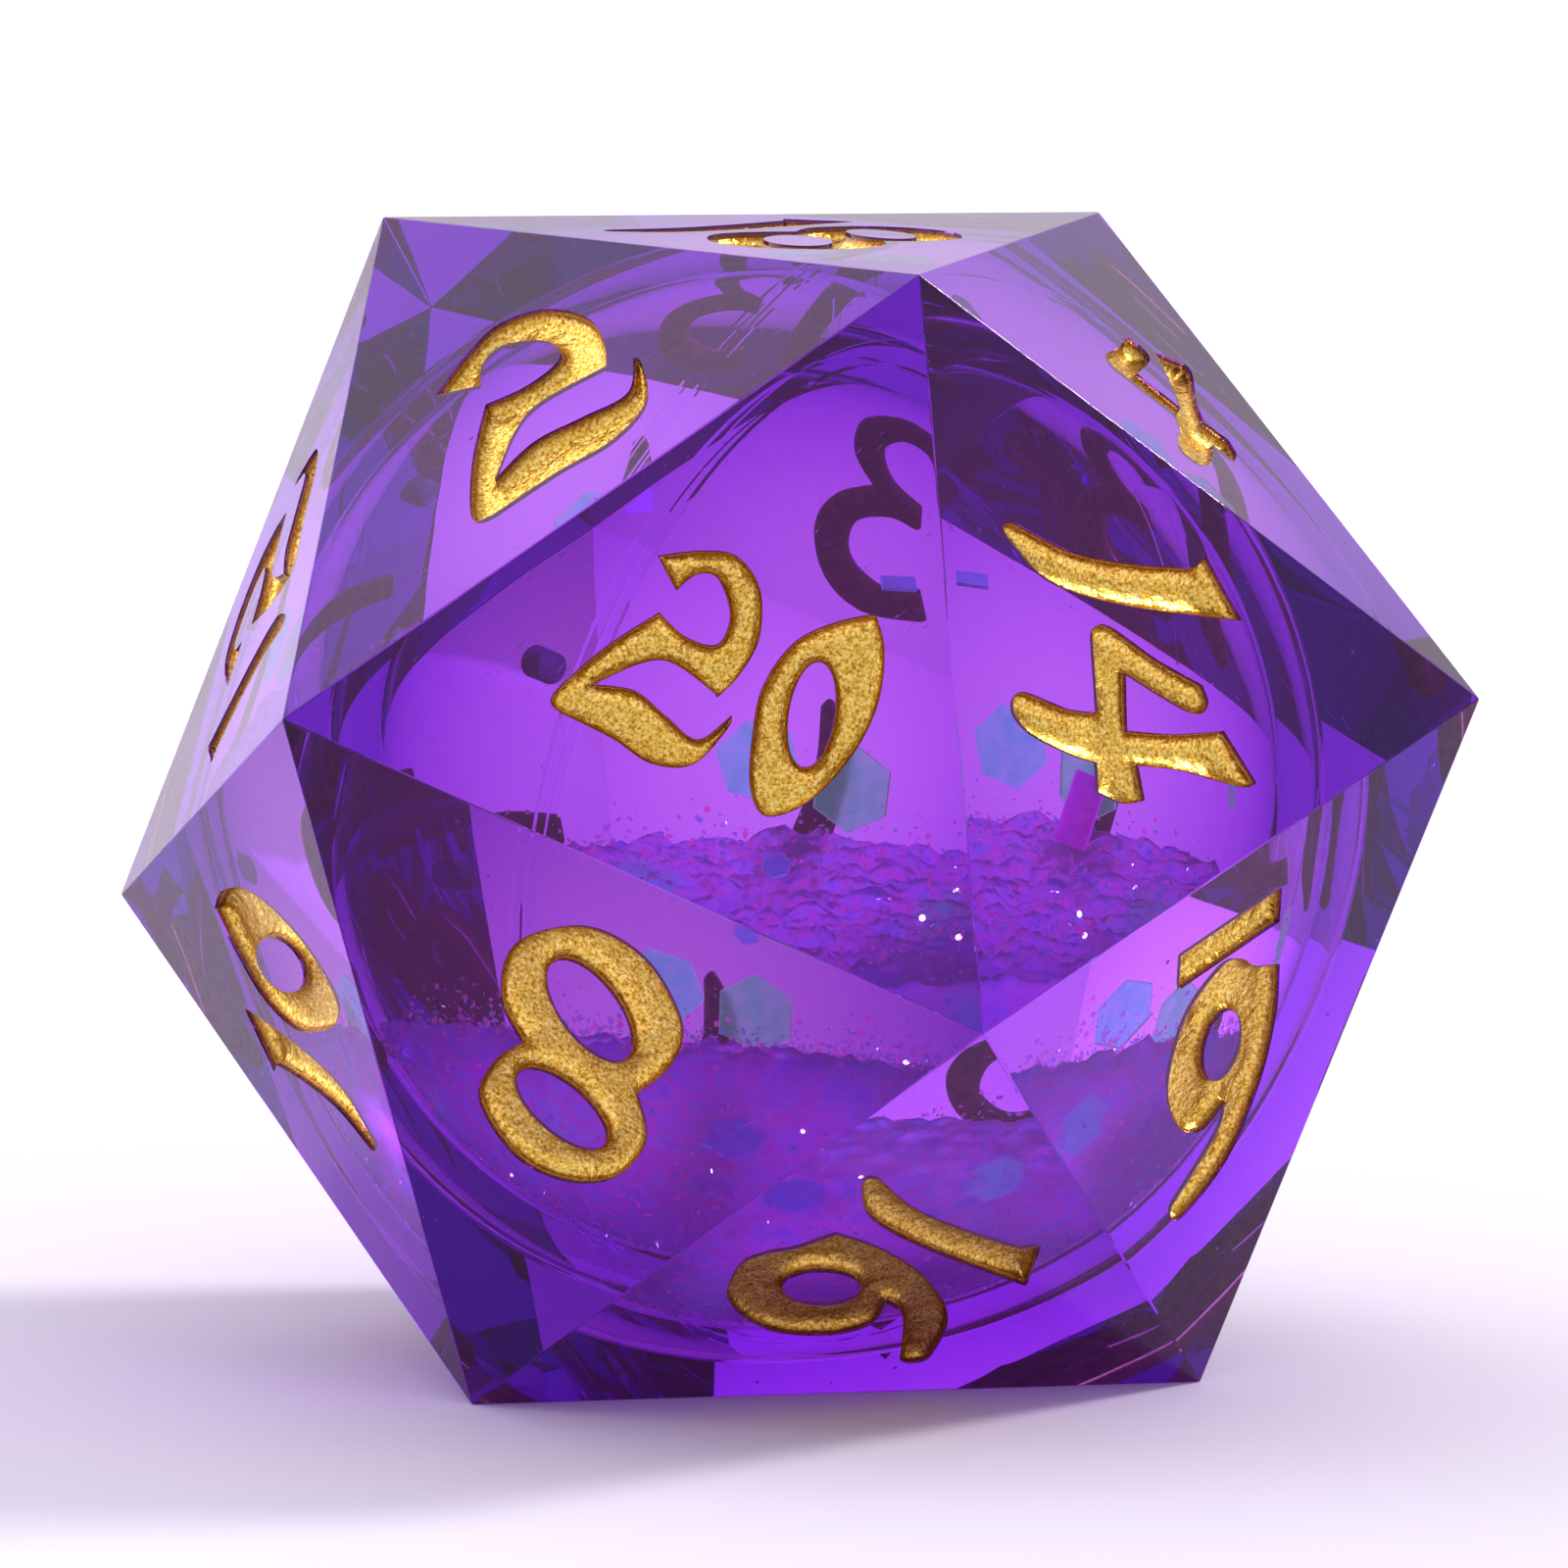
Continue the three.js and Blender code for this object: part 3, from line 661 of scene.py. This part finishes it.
def flat_triangle():
    """Corners of the flat part of a face, in the face's frame, first corner at the top."""
    radius = END_RING_RADIUS * (1 - EDGE_POLISH / INRADIUS)
    return np.array([
        (radius * math.cos(math.radians(angle)), radius * math.sin(math.radians(angle)))
        for angle in (90, 210, 330)
    ])


class Builder:
    """Collects points, faces and smoothness flags of one mesh."""

    def __init__(self):
        self.points, self.faces, self.smooth = [], [], []

    def add(self, points, faces, smooth):
        first = len(self.points)
        self.points += list(points)
        self.faces += [[first + k for k in face] for face in faces]
        self.smooth += list(np.broadcast_to(smooth, len(faces)))


def placed(face_points, heights, number):
    """Points of a face's frame in the row frame."""
    matrix = np.array(FACE_FRAMES[number])
    full = np.column_stack((face_points, heights, np.ones(len(face_points))))
    return (full @ matrix.T)[:, :3]


def add_face(builder, number):
    """One engraved face of the die."""
    strokes = numeral_strokes(number)
    rings = [ring for _, stroke_rings in strokes for ring in stroke_rings]
    loose = np.vstack([groove_points(stroke_rings) for _, stroke_rings in strokes])
    points, triangles = triangulate(rings, loose, flat_triangle())
    inside = is_inside(points, rings)
    distance = outline_distance(points, rings)
    on_outline = distance < WELD
    depth = np.where(inside & ~on_outline, dish(distance, GROOVE_WALL, GROOVE_DEPTH), 0)
    in_groove = is_inside(points[triangles].mean(1), rings)
    builder.add(placed(points, -depth, number), triangles, in_groove)


def arc_between(one, two):
    return [one.slerp(two, step / POLISH_STEPS) for step in range(POLISH_STEPS + 1)]


def inner_corner(name):
    """Centre of the small ball that rounds a corner."""
    return CENTRE + CORNERS[name] * (1 - EDGE_POLISH / INRADIUS)


def add_edges(builder):
    """Rounded edges between neighbouring faces."""
    numbers = sorted(FACES)
    for index, one in enumerate(numbers):
        for two in numbers[index + 1:]:
            shared = sorted(set(FACES[one]) & set(FACES[two]))
            if len(shared) == 2:
                arc = arc_between(face_normal(one), face_normal(two))
                rows = [[inner_corner(name) + EDGE_POLISH * n for n in arc] for name in shared]
                width = len(arc)
                faces = [(k, k + 1, width + k + 1, width + k) for k in range(width - 1)]
                builder.add(rows[0] + rows[1], faces, True)


def add_corner(builder, name):
    """Rounded corner: a small five-sided patch of a ball."""
    direction = CORNERS[name].normalized()
    side = direction.orthogonal().normalized()
    other = direction.cross(side)
    around = sorted(
        (face_normal(number) for number in FACES if name in FACES[number]),
        key=lambda n: math.atan2(n.dot(other), n.dot(side)),
    )
    rim = []
    for index, normal in enumerate(around):
        rim += arc_between(normal, around[(index + 1) % 5])[:-1]
    middle = [direction.slerp(normal, 0.5) for normal in rim]
    count = len(rim)
    points = [inner_corner(name) + EDGE_POLISH * n for n in [*rim, *middle, direction]]
    after = [(k + 1) % count for k in range(count)]
    faces = [(k, after[k], count + after[k], count + k) for k in range(count)]
    faces += [(count + k, count + after[k], 2 * count) for k in range(count)]
    builder.add(points, faces, True)


BOND = 0.03 * MM  # between the resin and the capsule
CAVITY_REACH = 1.1  # of the cavity's radius: inside are only its own faces
CAVITY_STEPS = 96
QUARTER = math.pi / 2


def make_resin(material):
    """The whole resin body, hollow where it is cast round the capsule."""
    builder = Builder()
    for number in FACES:
        add_face(builder, number)
    add_edges(builder)
    for name in CORNERS:
        add_corner(builder, name)
    cavity_radius = CAPSULE_RADIUS + BOND
    lathe(builder, arc(cavity_radius, QUARTER, -QUARTER, CAVITY_STEPS), Vector((0, 0, 1)))
    body = new_piece(
        "resin_body", builder.points, builder.faces, builder.smooth, material,
        "die", ["resin_lower_casting", "resin_upper_casting"],
    )
    weld(body)
    share_one_shading(body)
    open_cavity(body, CAVITY_REACH * cavity_radius)
    return body


def share_one_shading(piece):
    """Smooths all faces, with sharp edges round flat ones: a volume ends only at faces of one kind."""
    made = bmesh.new()
    made.from_mesh(piece.data)
    for edge in made.edges:
        edge.smooth = all(face.smooth for face in edge.link_faces)
    for face in made.faces:
        face.smooth = True
    made.to_mesh(piece.data)
    made.free()


def open_cavity(piece, radius):
    """Turns the faces within the radius towards the hollow, and marks the vertices beyond it."""
    made = bmesh.new()
    made.from_mesh(piece.data)
    for face in made.faces:
        if (face.calc_center_median() - CENTRE).length < radius:
            face.normal_flip()
    made.to_mesh(piece.data)
    made.free()
    outside = piece.data.attributes.new("outside", "FLOAT", "POINT")
    outside.data.foreach_set("value", [float((v.co - CENTRE).length > radius) for v in piece.data.vertices])


def make_ink(number, node, rings, top_material, back_material):
    """Ink line in its groove: a sagging top, a thin rim and an underside that wets the resin."""
    points, triangles = triangulate(rings, groove_points(rings), np.array(bounding_square(rings)))
    triangles = triangles[is_inside(points[triangles].mean(1), rings)]
    used = np.unique(triangles)
    renumber = np.zeros(len(points), int)
    renumber[used] = np.arange(len(used))
    points, triangles = points[used], renumber[triangles]
    distance = outline_distance(points, rings)
    wave = np.array([
        noise.noise(Vector((x, y, number * MM)) / INK_WAVE_LENGTHS[0])
        + INK_RIPPLE_SHARE * noise.noise(Vector((x, y, 0)) / INK_WAVE_LENGTHS[1])
        for x, y in points
    ])
    calm = np.clip(distance / INK_WALL, 0, 1)
    top = -INK_RIM - dish(distance, INK_WALL, INK_SAG) + INK_WAVES * wave * calm
    bottom = np.minimum(-dish(distance, GROOVE_WALL, GROOVE_DEPTH) - INK_BITE, -INK_RIM - INK_RIM_THICKNESS)
    sides = np.sort(np.vstack((triangles[:, :2], triangles[:, 1:], triangles[:, ::2])), axis=1)
    unique, counts = np.unique(sides, axis=0, return_counts=True)
    count = len(points)
    walls = [(a, b, b + count, a + count) for a, b in unique[counts == 1]]
    faces = [*triangles, *(triangles[:, ::-1] + count), *walls]
    ink = new_piece(
        node.replace("numeral", "ink"),
        np.vstack((placed(points, top, number), placed(points, bottom, number))),
        faces, True, top_material, "die", [node],
    )
    ink.data.materials.append(back_material)
    attribute = ink.data.attributes.new("rim_distance", "FLOAT", "POINT")
    attribute.data.foreach_set("value", np.concatenate((distance, distance)).astype(np.float32))
    is_back = np.zeros(len(faces), np.int32)
    is_back[len(triangles):] = 1
    ink.data.polygons.foreach_set("material_index", is_back)
    weld(ink)
    return ink


def bounding_square(rings):
    low, high = rings[0].min(0) - MM, rings[0].max(0) + MM
    return [(low[0], low[1]), (high[0], low[1]), (high[0], high[1]), (low[0], high[1])]


# ---- Capsule, liquid and glitter ----

ROUND_STEPS = 96
ARC_STEPS = 28
ON_AXIS = 1e-7  # a smaller radius is a single point on the axis


def arc(radius, start, end, steps=ARC_STEPS):
    """Points (radius, height) of an arc about the centre, latitudes in radians."""
    latitudes = [start + (end - start) * k / steps for k in range(steps + 1)]
    return [(radius * math.cos(latitude), radius * math.sin(latitude)) for latitude in latitudes]


def lathe(builder, profile, axis, steps=ROUND_STEPS, centre=CENTRE):
    """Body of revolution about an axis through a centre, from a profile that starts and ends on the axis."""
    turn = Vector((0, 0, 1)).rotation_difference(axis)
    rows = []
    points, faces = [], []
    for radius, height in profile:
        if radius < ON_AXIS:
            rows.append([len(points)] * steps)
            points.append(centre + turn @ Vector((0, 0, height)))
        else:
            rows.append(list(range(len(points), len(points) + steps)))
            for k in range(steps):
                angle = 2 * math.pi * k / steps
                place = Vector((radius * math.cos(angle), radius * math.sin(angle), height))
                points.append(centre + turn @ place)
    for one, two in zip(rows, rows[1:]):
        for k in range(steps):
            after = (k + 1) % steps
            face = list(dict.fromkeys((one[k], one[after], two[after], two[k])))
            if len(face) > 2:
                faces.append(face)
    builder.add(points, faces, True)


INNER_RADIUS = CAPSULE_RADIUS - CAPSULE_WALL
RIM_RADIUS = CAPSULE_RADIUS - CAPSULE_WALL / 2


def make_capsule(material):
    """Two moulded half shells whose rims lap over each other."""
    front = Builder()
    step = -RIM_LAP
    lathe(front, [
        *arc(CAPSULE_RADIUS, -QUARTER, math.asin(step / CAPSULE_RADIUS)),
        (RIM_RADIUS - SEAM_GAP / 2, step),
        (RIM_RADIUS - SEAM_GAP / 2, 0),
        *arc(INNER_RADIUS, 0, -QUARTER),
    ], CAPSULE_AXIS)
    rear = Builder()
    lap = SEAM_GAP - RIM_LAP
    lathe(rear, [
        *arc(INNER_RADIUS, QUARTER, math.asin(SEAM_GAP / INNER_RADIUS)),
        (RIM_RADIUS + SEAM_GAP / 2, SEAM_GAP),
        (RIM_RADIUS + SEAM_GAP / 2, lap),
        *arc(CAPSULE_RADIUS, math.asin(lap / CAPSULE_RADIUS), QUARTER),
    ], CAPSULE_AXIS)
    for name, builder in (("capsule_front_wall", front), ("capsule_rear_wall", rear)):
        node = name.replace("wall", "shell")
        shell = new_piece(name, builder.points, builder.faces, True, material, "die", [node])
        weld(shell)
        sharpen(shell)


SHARP_ANGLE = math.radians(35)


def sharpen(piece):
    """Marks sharp edges, so that smooth shading stops there."""
    made = bmesh.new()
    made.from_mesh(piece.data)
    for edge in made.edges:
        edge.smooth = edge.calc_face_angle(0) < SHARP_ANGLE
    made.to_mesh(piece.data)
    made.free()


PLUG_CHAMFER = 0.1 * MM
PLUG_INSET = 0.02 * MM  # of its inner end, from the liquid
PLUG_HEAD = 0.15 * MM  # of its outer end, past the shell


def make_plug(material):
    """The pin in the capsule's filling hole."""
    builder = Builder()
    neck = PLUG_RADIUS - PLUG_CHAMFER
    low = math.sqrt(INNER_RADIUS**2 - PLUG_RADIUS**2) + PLUG_INSET
    high = math.sqrt(CAPSULE_RADIUS**2 - PLUG_RADIUS**2) + PLUG_HEAD
    lathe(builder, [
        (0, low), (neck, low), (PLUG_RADIUS, low + PLUG_CHAMFER),
        (PLUG_RADIUS, high - PLUG_CHAMFER), (neck, high), (0, high),
    ], PLUG_AXIS)
    plug = new_piece(
        "capsule_plug", builder.points, builder.faces, True, material,
        "die", ["capsule_fill_plug"],
    )
    weld(plug)
    sharpen(plug)


def make_liquid(material):
    """The ball of liquid in the capsule."""
    builder = Builder()
    lathe(builder, arc(LIQUID_RADIUS, -QUARTER, QUARTER, 2 * ARC_STEPS), Vector((0, 0, 1)))
    liquid = new_piece(
        "liquid_core", builder.points, builder.faces, True, material,
        "liquid", ["liquid_fill"],
    )
    weld(liquid)


GLITTER_SEED = 20
HAZE_RADIUS = LIQUID_RADIUS - 0.12 * MM
HAZE_ROUND_STEPS = 240
HAZE_ARC_STEPS = 44
HAZE_TOP_STEPS = 40
HAZE_LUMPS = 0.28 * MM
HAZE_LUMP_DEPTH = 0.8 * MM  # below the top, where the lumps die out
HAZE_LUMP_LENGTHS = (0.75 * MM, 0.25 * MM)
HAZE_CRUMB_SHARE = 0.8  # of the shorter lumps


def random_direction(source):
    height = source.uniform(-1, 1)
    angle = source.uniform(0, 2 * math.pi)
    radius = math.sqrt(1 - height**2)
    return Vector((radius * math.cos(angle), radius * math.sin(angle), height))


def make_haze(material):
    """The settled glitter: a segment of the liquid's ball with a lumpy, nearly level top."""
    rim_latitude = math.asin(GLITTER_TOP / HAZE_RADIUS)
    rim_radius = HAZE_RADIUS * math.cos(rim_latitude)
    profile = arc(HAZE_RADIUS, -QUARTER, rim_latitude, HAZE_ARC_STEPS)
    profile += [(rim_radius * (1 - k / HAZE_TOP_STEPS), GLITTER_TOP) for k in range(1, HAZE_TOP_STEPS + 1)]
    builder = Builder()
    lathe(builder, profile, Vector((0, 0, 1)), steps=HAZE_ROUND_STEPS)
    lumpy = []
    for point in builder.points:
        local = point - CENTRE
        closeness = max(0, 1 - (GLITTER_TOP - local.z) / HAZE_LUMP_DEPTH)
        lump = noise.noise(local / HAZE_LUMP_LENGTHS[0])
        lump += HAZE_CRUMB_SHARE * noise.noise(local / HAZE_LUMP_LENGTHS[1])
        local = local + Vector((0, 0, HAZE_LUMPS * lump * closeness))
        if local.length > HAZE_RADIUS:
            local *= HAZE_RADIUS / local.length
        lumpy.append(CENTRE + local)
    haze = new_piece(
        "glitter_haze", lumpy, builder.faces, True, material,
        "glitter", ["glitter_cloud"],
    )
    weld(haze)


SPECK_COUNT = 3600
SPECK_SIZES = (0.03 * MM, 0.04 * MM, 0.055 * MM, 0.08 * MM)
SPECK_SHARES = (5, 4, 2, 1.2, 0.1)  # of magenta, violet, blue, teal and silver with painted glints
SPECK_SIDES = 6
SPECK_BULGE = 0.12  # of its size, on either side
SPECK_LEVELNESS = 0.8  # how much it lies along the liquid's wall
SPECK_WALL_GAP = 0.06 * MM
SPECK_REACH = 0.5  # how far in from the wall, as a share of the radius
SPECK_TOP_CHANCE = 0.9
SPECK_TOP_FALL = 0.28 * MM  # height over the haze at which they thin out
SPECK_WALL_CHANCE = 0.5


def swept_rings():
    """Rings round the upright axis that the floating flakes sweep: two radii and two heights of each."""
    spare = 2 * SPECK_SIZES[-1]
    rings = []
    for name in frame["record"]["behaviour"]["bodies"]["liquid"]:
        if "flake" in name:
            places = [vertex.co - CENTRE for vertex in frame["nodes"][name].data.vertices]
            radii = [place.xy.length for place in places]
            heights = [place.z for place in places]
            rings.append((min(radii) - spare, max(radii) + spare, min(heights) - spare, max(heights) + spare))
    return rings


def speck_place(source, rings):
    """A point outside the rings, near the liquid's wall or the top of the haze, rarer farther above it."""
    while True:
        direction = random_direction(source)
        place = direction * (LIQUID_RADIUS - SPECK_WALL_GAP) * (1 - SPECK_REACH * source.random() ** 2)
        over = place.z - GLITTER_TOP
        if any(near < place.xy.length < far and low < place.z < high for near, far, low, high in rings):
            continue
        if over > 0 and source.random() < SPECK_TOP_CHANCE * math.exp(-over / SPECK_TOP_FALL):
            return place
        if over < 0 and place.length > HAZE_RADIUS and source.random() < SPECK_WALL_CHANCE:
            return place


def make_specks(materials):
    """Single flakes of the fine glitter that stand out from the haze."""
    source = random.Random(GLITTER_SEED)
    rings = swept_rings()
    points, faces, colours = [], [], []
    for _ in range(SPECK_COUNT):
        place = speck_place(source, rings)
        size = source.choice(SPECK_SIZES)
        normal = (place.normalized() * SPECK_LEVELNESS + random_direction(source)).normalized()
        side = normal.orthogonal().normalized()
        other = normal.cross(side)
        first = len(points)
        for k in range(SPECK_SIDES):
            angle = 2 * math.pi * k / SPECK_SIDES
            points.append(CENTRE + place + size * (math.cos(angle) * side + math.sin(angle) * other))
        points.append(CENTRE + place + SPECK_BULGE * size * normal)
        points.append(CENTRE + place - SPECK_BULGE * size * normal)
        top, bottom = first + SPECK_SIDES, first + SPECK_SIDES + 1
        for k in range(SPECK_SIDES):
            after = (k + 1) % SPECK_SIDES
            faces.append((first + k, first + after, top))
            faces.append((first + after, first + k, bottom))
        colours += [source.choices(range(len(materials)), SPECK_SHARES)[0]] * (2 * SPECK_SIDES)
    specks = new_piece("glitter_specks", points, faces, False, materials[0], "glitter")
    for material in materials[1:]:
        specks.data.materials.append(material)
    specks.data.polygons.foreach_set("material_index", np.array(colours, np.int32))


BUBBLE_COUNT = 70
BUBBLE_SEED = 7
BUBBLE_ROUND_STEPS = 12
BUBBLE_ARC_STEPS = 7
BUBBLE_RADII_MM = (0.02, 0.05)
BUBBLE_DEPTHS = (0.07, 0.2)  # below a face, as shares of its distance from the centre
BUBBLE_CORNER_SHARE = 0.15  # the least weight of each corner of a face in a bubble's place
BUBBLE_CAPSULE_GAP = 0.3 * MM


def make_bubbles(material):
    """Pinhead bubbles that stayed in the resin, most of them close under the faces."""
    source = random.Random(BUBBLE_SEED)
    builder = Builder()
    placed_count = 0
    while placed_count < BUBBLE_COUNT:
        corners = [CORNERS[name] for name in FACES[source.choice(sorted(FACES))]]
        shares = [source.random() + BUBBLE_CORNER_SHARE for _ in corners]
        place = sum((corner * share for corner, share in zip(corners, shares)), Vector()) / sum(shares)
        place *= 1 - source.uniform(*BUBBLE_DEPTHS)
        if place.length > CAPSULE_RADIUS + BUBBLE_CAPSULE_GAP:
            radius = source.uniform(*BUBBLE_RADII_MM) * MM
            lathe(
                builder, arc(radius, -QUARTER, QUARTER, BUBBLE_ARC_STEPS), random_direction(source),
                BUBBLE_ROUND_STEPS, CENTRE + place,
            )
            placed_count += 1
    bubbles = new_piece("resin_bubbles", builder.points, builder.faces, True, material, "die")
    weld(bubbles)


def dress_flakes():
    """The CAD's loose flakes keep their shape and take an iridescent film."""
    films = {
        "flake_teal": flake_finish("teal_film", (0.3, 0.95, 0.75), (0.55, 1.0, 0.85), painted_glow=0.16),
        "flake_green": flake_finish("green_film", (0.3, 1.0, 0.55), (0.55, 1.0, 0.7), painted_glow=0.16),
        "flake_blue": flake_finish("blue_film", (0.4, 0.65, 0.95), (0.5, 0.85, 1.0), painted_glow=0.06),
        "flake_magenta": flake_finish("magenta_film", (0.8, 0.02, 0.8), (0.95, 0.08, 0.95), painted_glow=0.12),
    }
    for subpart in frame["record"]["subparts"]:
        if subpart["material_slot"] in films:
            node = frame["nodes"][subpart["node"]]
            node.data.materials.clear()
            node.data.materials.append(films[subpart["material_slot"]])


# ---- Stage, light and camera ----


FLOOR_REACH = 4.0


def make_floor():
    """White paper under the die."""
    mesh = bpy.data.meshes.new("floor")
    corners = [(x * FLOOR_REACH, y * FLOOR_REACH, 0) for x, y in ((-1, -1), (1, -1), (1, 1), (-1, 1))]
    mesh.from_pydata(corners, [], [(0, 1, 2, 3)])
    floor = bpy.data.objects.new("floor", mesh)
    bpy.context.scene.collection.objects.link(floor)
    finish = Finish("paper_sweep")
    paper = finish.noise(40 * MM, detail=2)
    colour = finish.ramp(paper, (0.3, (0.80, 0.775, 0.845)), (0.7, (0.815, 0.79, 0.86)))
    finish.link(colour, finish.shader.inputs["Base Color"])
    finish.set(Roughness=0.85, Specular_IOR_Level=0.2)
    mesh.materials.append(finish.material)


VIEW_AZIMUTH = math.radians(-15.5)
VIEW_ELEVATION = math.radians(7.5)
VIEW_ROLL = math.radians(1.0)
VIEW_DISTANCE = 18 * EDGE
VIEW_SHIFT = (-0.00876 * EDGE, 0.01862 * EDGE)  # of the camera across and up, from the die's centre
LENS_MM = 309.5
SENSOR_MM = 36
CLIP = (0.01, 20)

AWAY = Vector((
    math.sin(VIEW_AZIMUTH) * math.cos(VIEW_ELEVATION),
    -math.cos(VIEW_AZIMUTH) * math.cos(VIEW_ELEVATION),
    math.sin(VIEW_ELEVATION),
))
LEVEL_RIGHT = Vector((math.cos(VIEW_AZIMUTH), math.sin(VIEW_AZIMUTH), 0))


def make_camera():
    level_up = AWAY.cross(LEVEL_RIGHT)
    right = LEVEL_RIGHT * math.cos(VIEW_ROLL) + level_up * math.sin(VIEW_ROLL)
    up = level_up * math.cos(VIEW_ROLL) - LEVEL_RIGHT * math.sin(VIEW_ROLL)
    camera = bpy.data.objects.new("camera", bpy.data.cameras.new("camera"))
    bpy.context.scene.collection.objects.link(camera)
    camera.data.lens = LENS_MM
    camera.data.sensor_width = SENSOR_MM
    place = CENTRE + AWAY * VIEW_DISTANCE + right * VIEW_SHIFT[0] + up * VIEW_SHIFT[1]
    camera.matrix_world = Matrix.Translation(place) @ Matrix((right, up, AWAY)).transposed().to_4x4()
    camera.data.clip_start, camera.data.clip_end = CLIP
    bpy.context.scene.camera = camera


def direction_to(azimuth, elevation):
    """Unit vector from degrees. The azimuth is counted from the camera's right, away from the camera."""
    turn, rise = math.radians(azimuth), math.radians(elevation)
    ahead = Vector((-LEVEL_RIGHT.y, LEVEL_RIGHT.x, 0))
    level = LEVEL_RIGHT * math.cos(turn) + ahead * math.sin(turn)
    return level * math.cos(rise) + Vector((0, 0, math.sin(rise)))


ROOM_COLOUR = (0.97, 0.94, 1.0)
PAPER_SIDE = (140, 32)  # azimuth from the camera's right and elevation, degrees
PAPER_FALL = (0.62, 0.98, 0.88, 1.9)  # cosines of the angle from that side, and the room's strengths there
KEY_SIDE = (26, 36)  # as the paper's
KEY_POWER = 33.0
KEY_SIZE = 0.5
KEY_DISTANCE = 2.5
KEY_COLOUR = (1.0, 0.98, 0.95)
TONE_GAMMA = 0.77
DEEP_BOUNCES = 32
GLOSSY_BOUNCES = 12


def make_room():
    """A pale room round the die with a brighter sheet of paper behind it and to the left."""
    world = bpy.data.worlds.new("studio")
    world.use_nodes = True
    tree = world.node_tree
    place = tree.nodes.new("ShaderNodeTexCoord")
    towards = tree.nodes.new("ShaderNodeVectorMath")
    towards.operation = "DOT_PRODUCT"
    towards.inputs[1].default_value = direction_to(*PAPER_SIDE)
    tree.links.new(place.outputs["Generated"], towards.inputs[0])
    fall = tree.nodes.new("ShaderNodeMapRange")
    fall.interpolation_type = "SMOOTHSTEP"
    for key, limit in zip(("From Min", "From Max", "To Min", "To Max"), PAPER_FALL):
        fall.inputs[key].default_value = limit
    tree.links.new(towards.outputs["Value"], fall.inputs["Value"])
    background = tree.nodes["Background"]
    background.inputs["Color"].default_value = (*ROOM_COLOUR, 1)
    tree.links.new(fall.outputs["Result"], background.inputs["Strength"])
    bpy.context.scene.world = world


def make_key():
    """A lamp behind the die to the right that looks at it."""
    direction = direction_to(*KEY_SIDE)
    lamp = bpy.data.objects.new("key", bpy.data.lights.new("key", "AREA"))
    bpy.context.scene.collection.objects.link(lamp)
    lamp.data.size = KEY_SIZE
    lamp.data.energy = KEY_POWER
    lamp.data.color = KEY_COLOUR
    lamp.location = CENTRE + direction * KEY_DISTANCE
    lamp.rotation_euler = direction.to_track_quat("Z", "Y").to_euler()


def set_render_character():
    """Light paths deep enough for clear resin, and plain colours."""
    scene = bpy.context.scene
    scene.view_settings.view_transform = "Standard"
    scene.view_settings.gamma = TONE_GAMMA
    scene.cycles.max_bounces = DEEP_BOUNCES
    scene.cycles.transmission_bounces = DEEP_BOUNCES
    scene.cycles.glossy_bounces = GLOSSY_BOUNCES


# ---- Build ----

make_camera()
make_resin(resin_finish())
gold, ink_back = gold_finish(), ink_back_finish()
for face_number in FACES:
    for node_name, stroke_rings in numeral_strokes(face_number):
        make_ink(face_number, node_name, stroke_rings, gold, ink_back)
make_capsule(shell_finish())
make_plug(plug_finish())
make_liquid(liquid_finish())
make_haze(haze_finish())
make_specks([
    flake_finish("speck_magenta", (1.0, 0.3, 0.7), (1.0, 0.55, 0.85), painted_glow=0.09),
    flake_finish("speck_violet", (0.75, 0.55, 0.95), (0.85, 0.7, 1.0), painted_glow=0.04),
    flake_finish("speck_blue", (0.5, 0.65, 0.95), (0.6, 0.8, 1.0), painted_glow=0.04),
    flake_finish("speck_teal", (0.45, 0.9, 0.9), (0.6, 0.95, 0.95), painted_glow=0.04),
    glint_finish(),
])
make_bubbles(bubble_finish())
dress_flakes()
make_floor()
make_room()
make_key()
set_render_character()
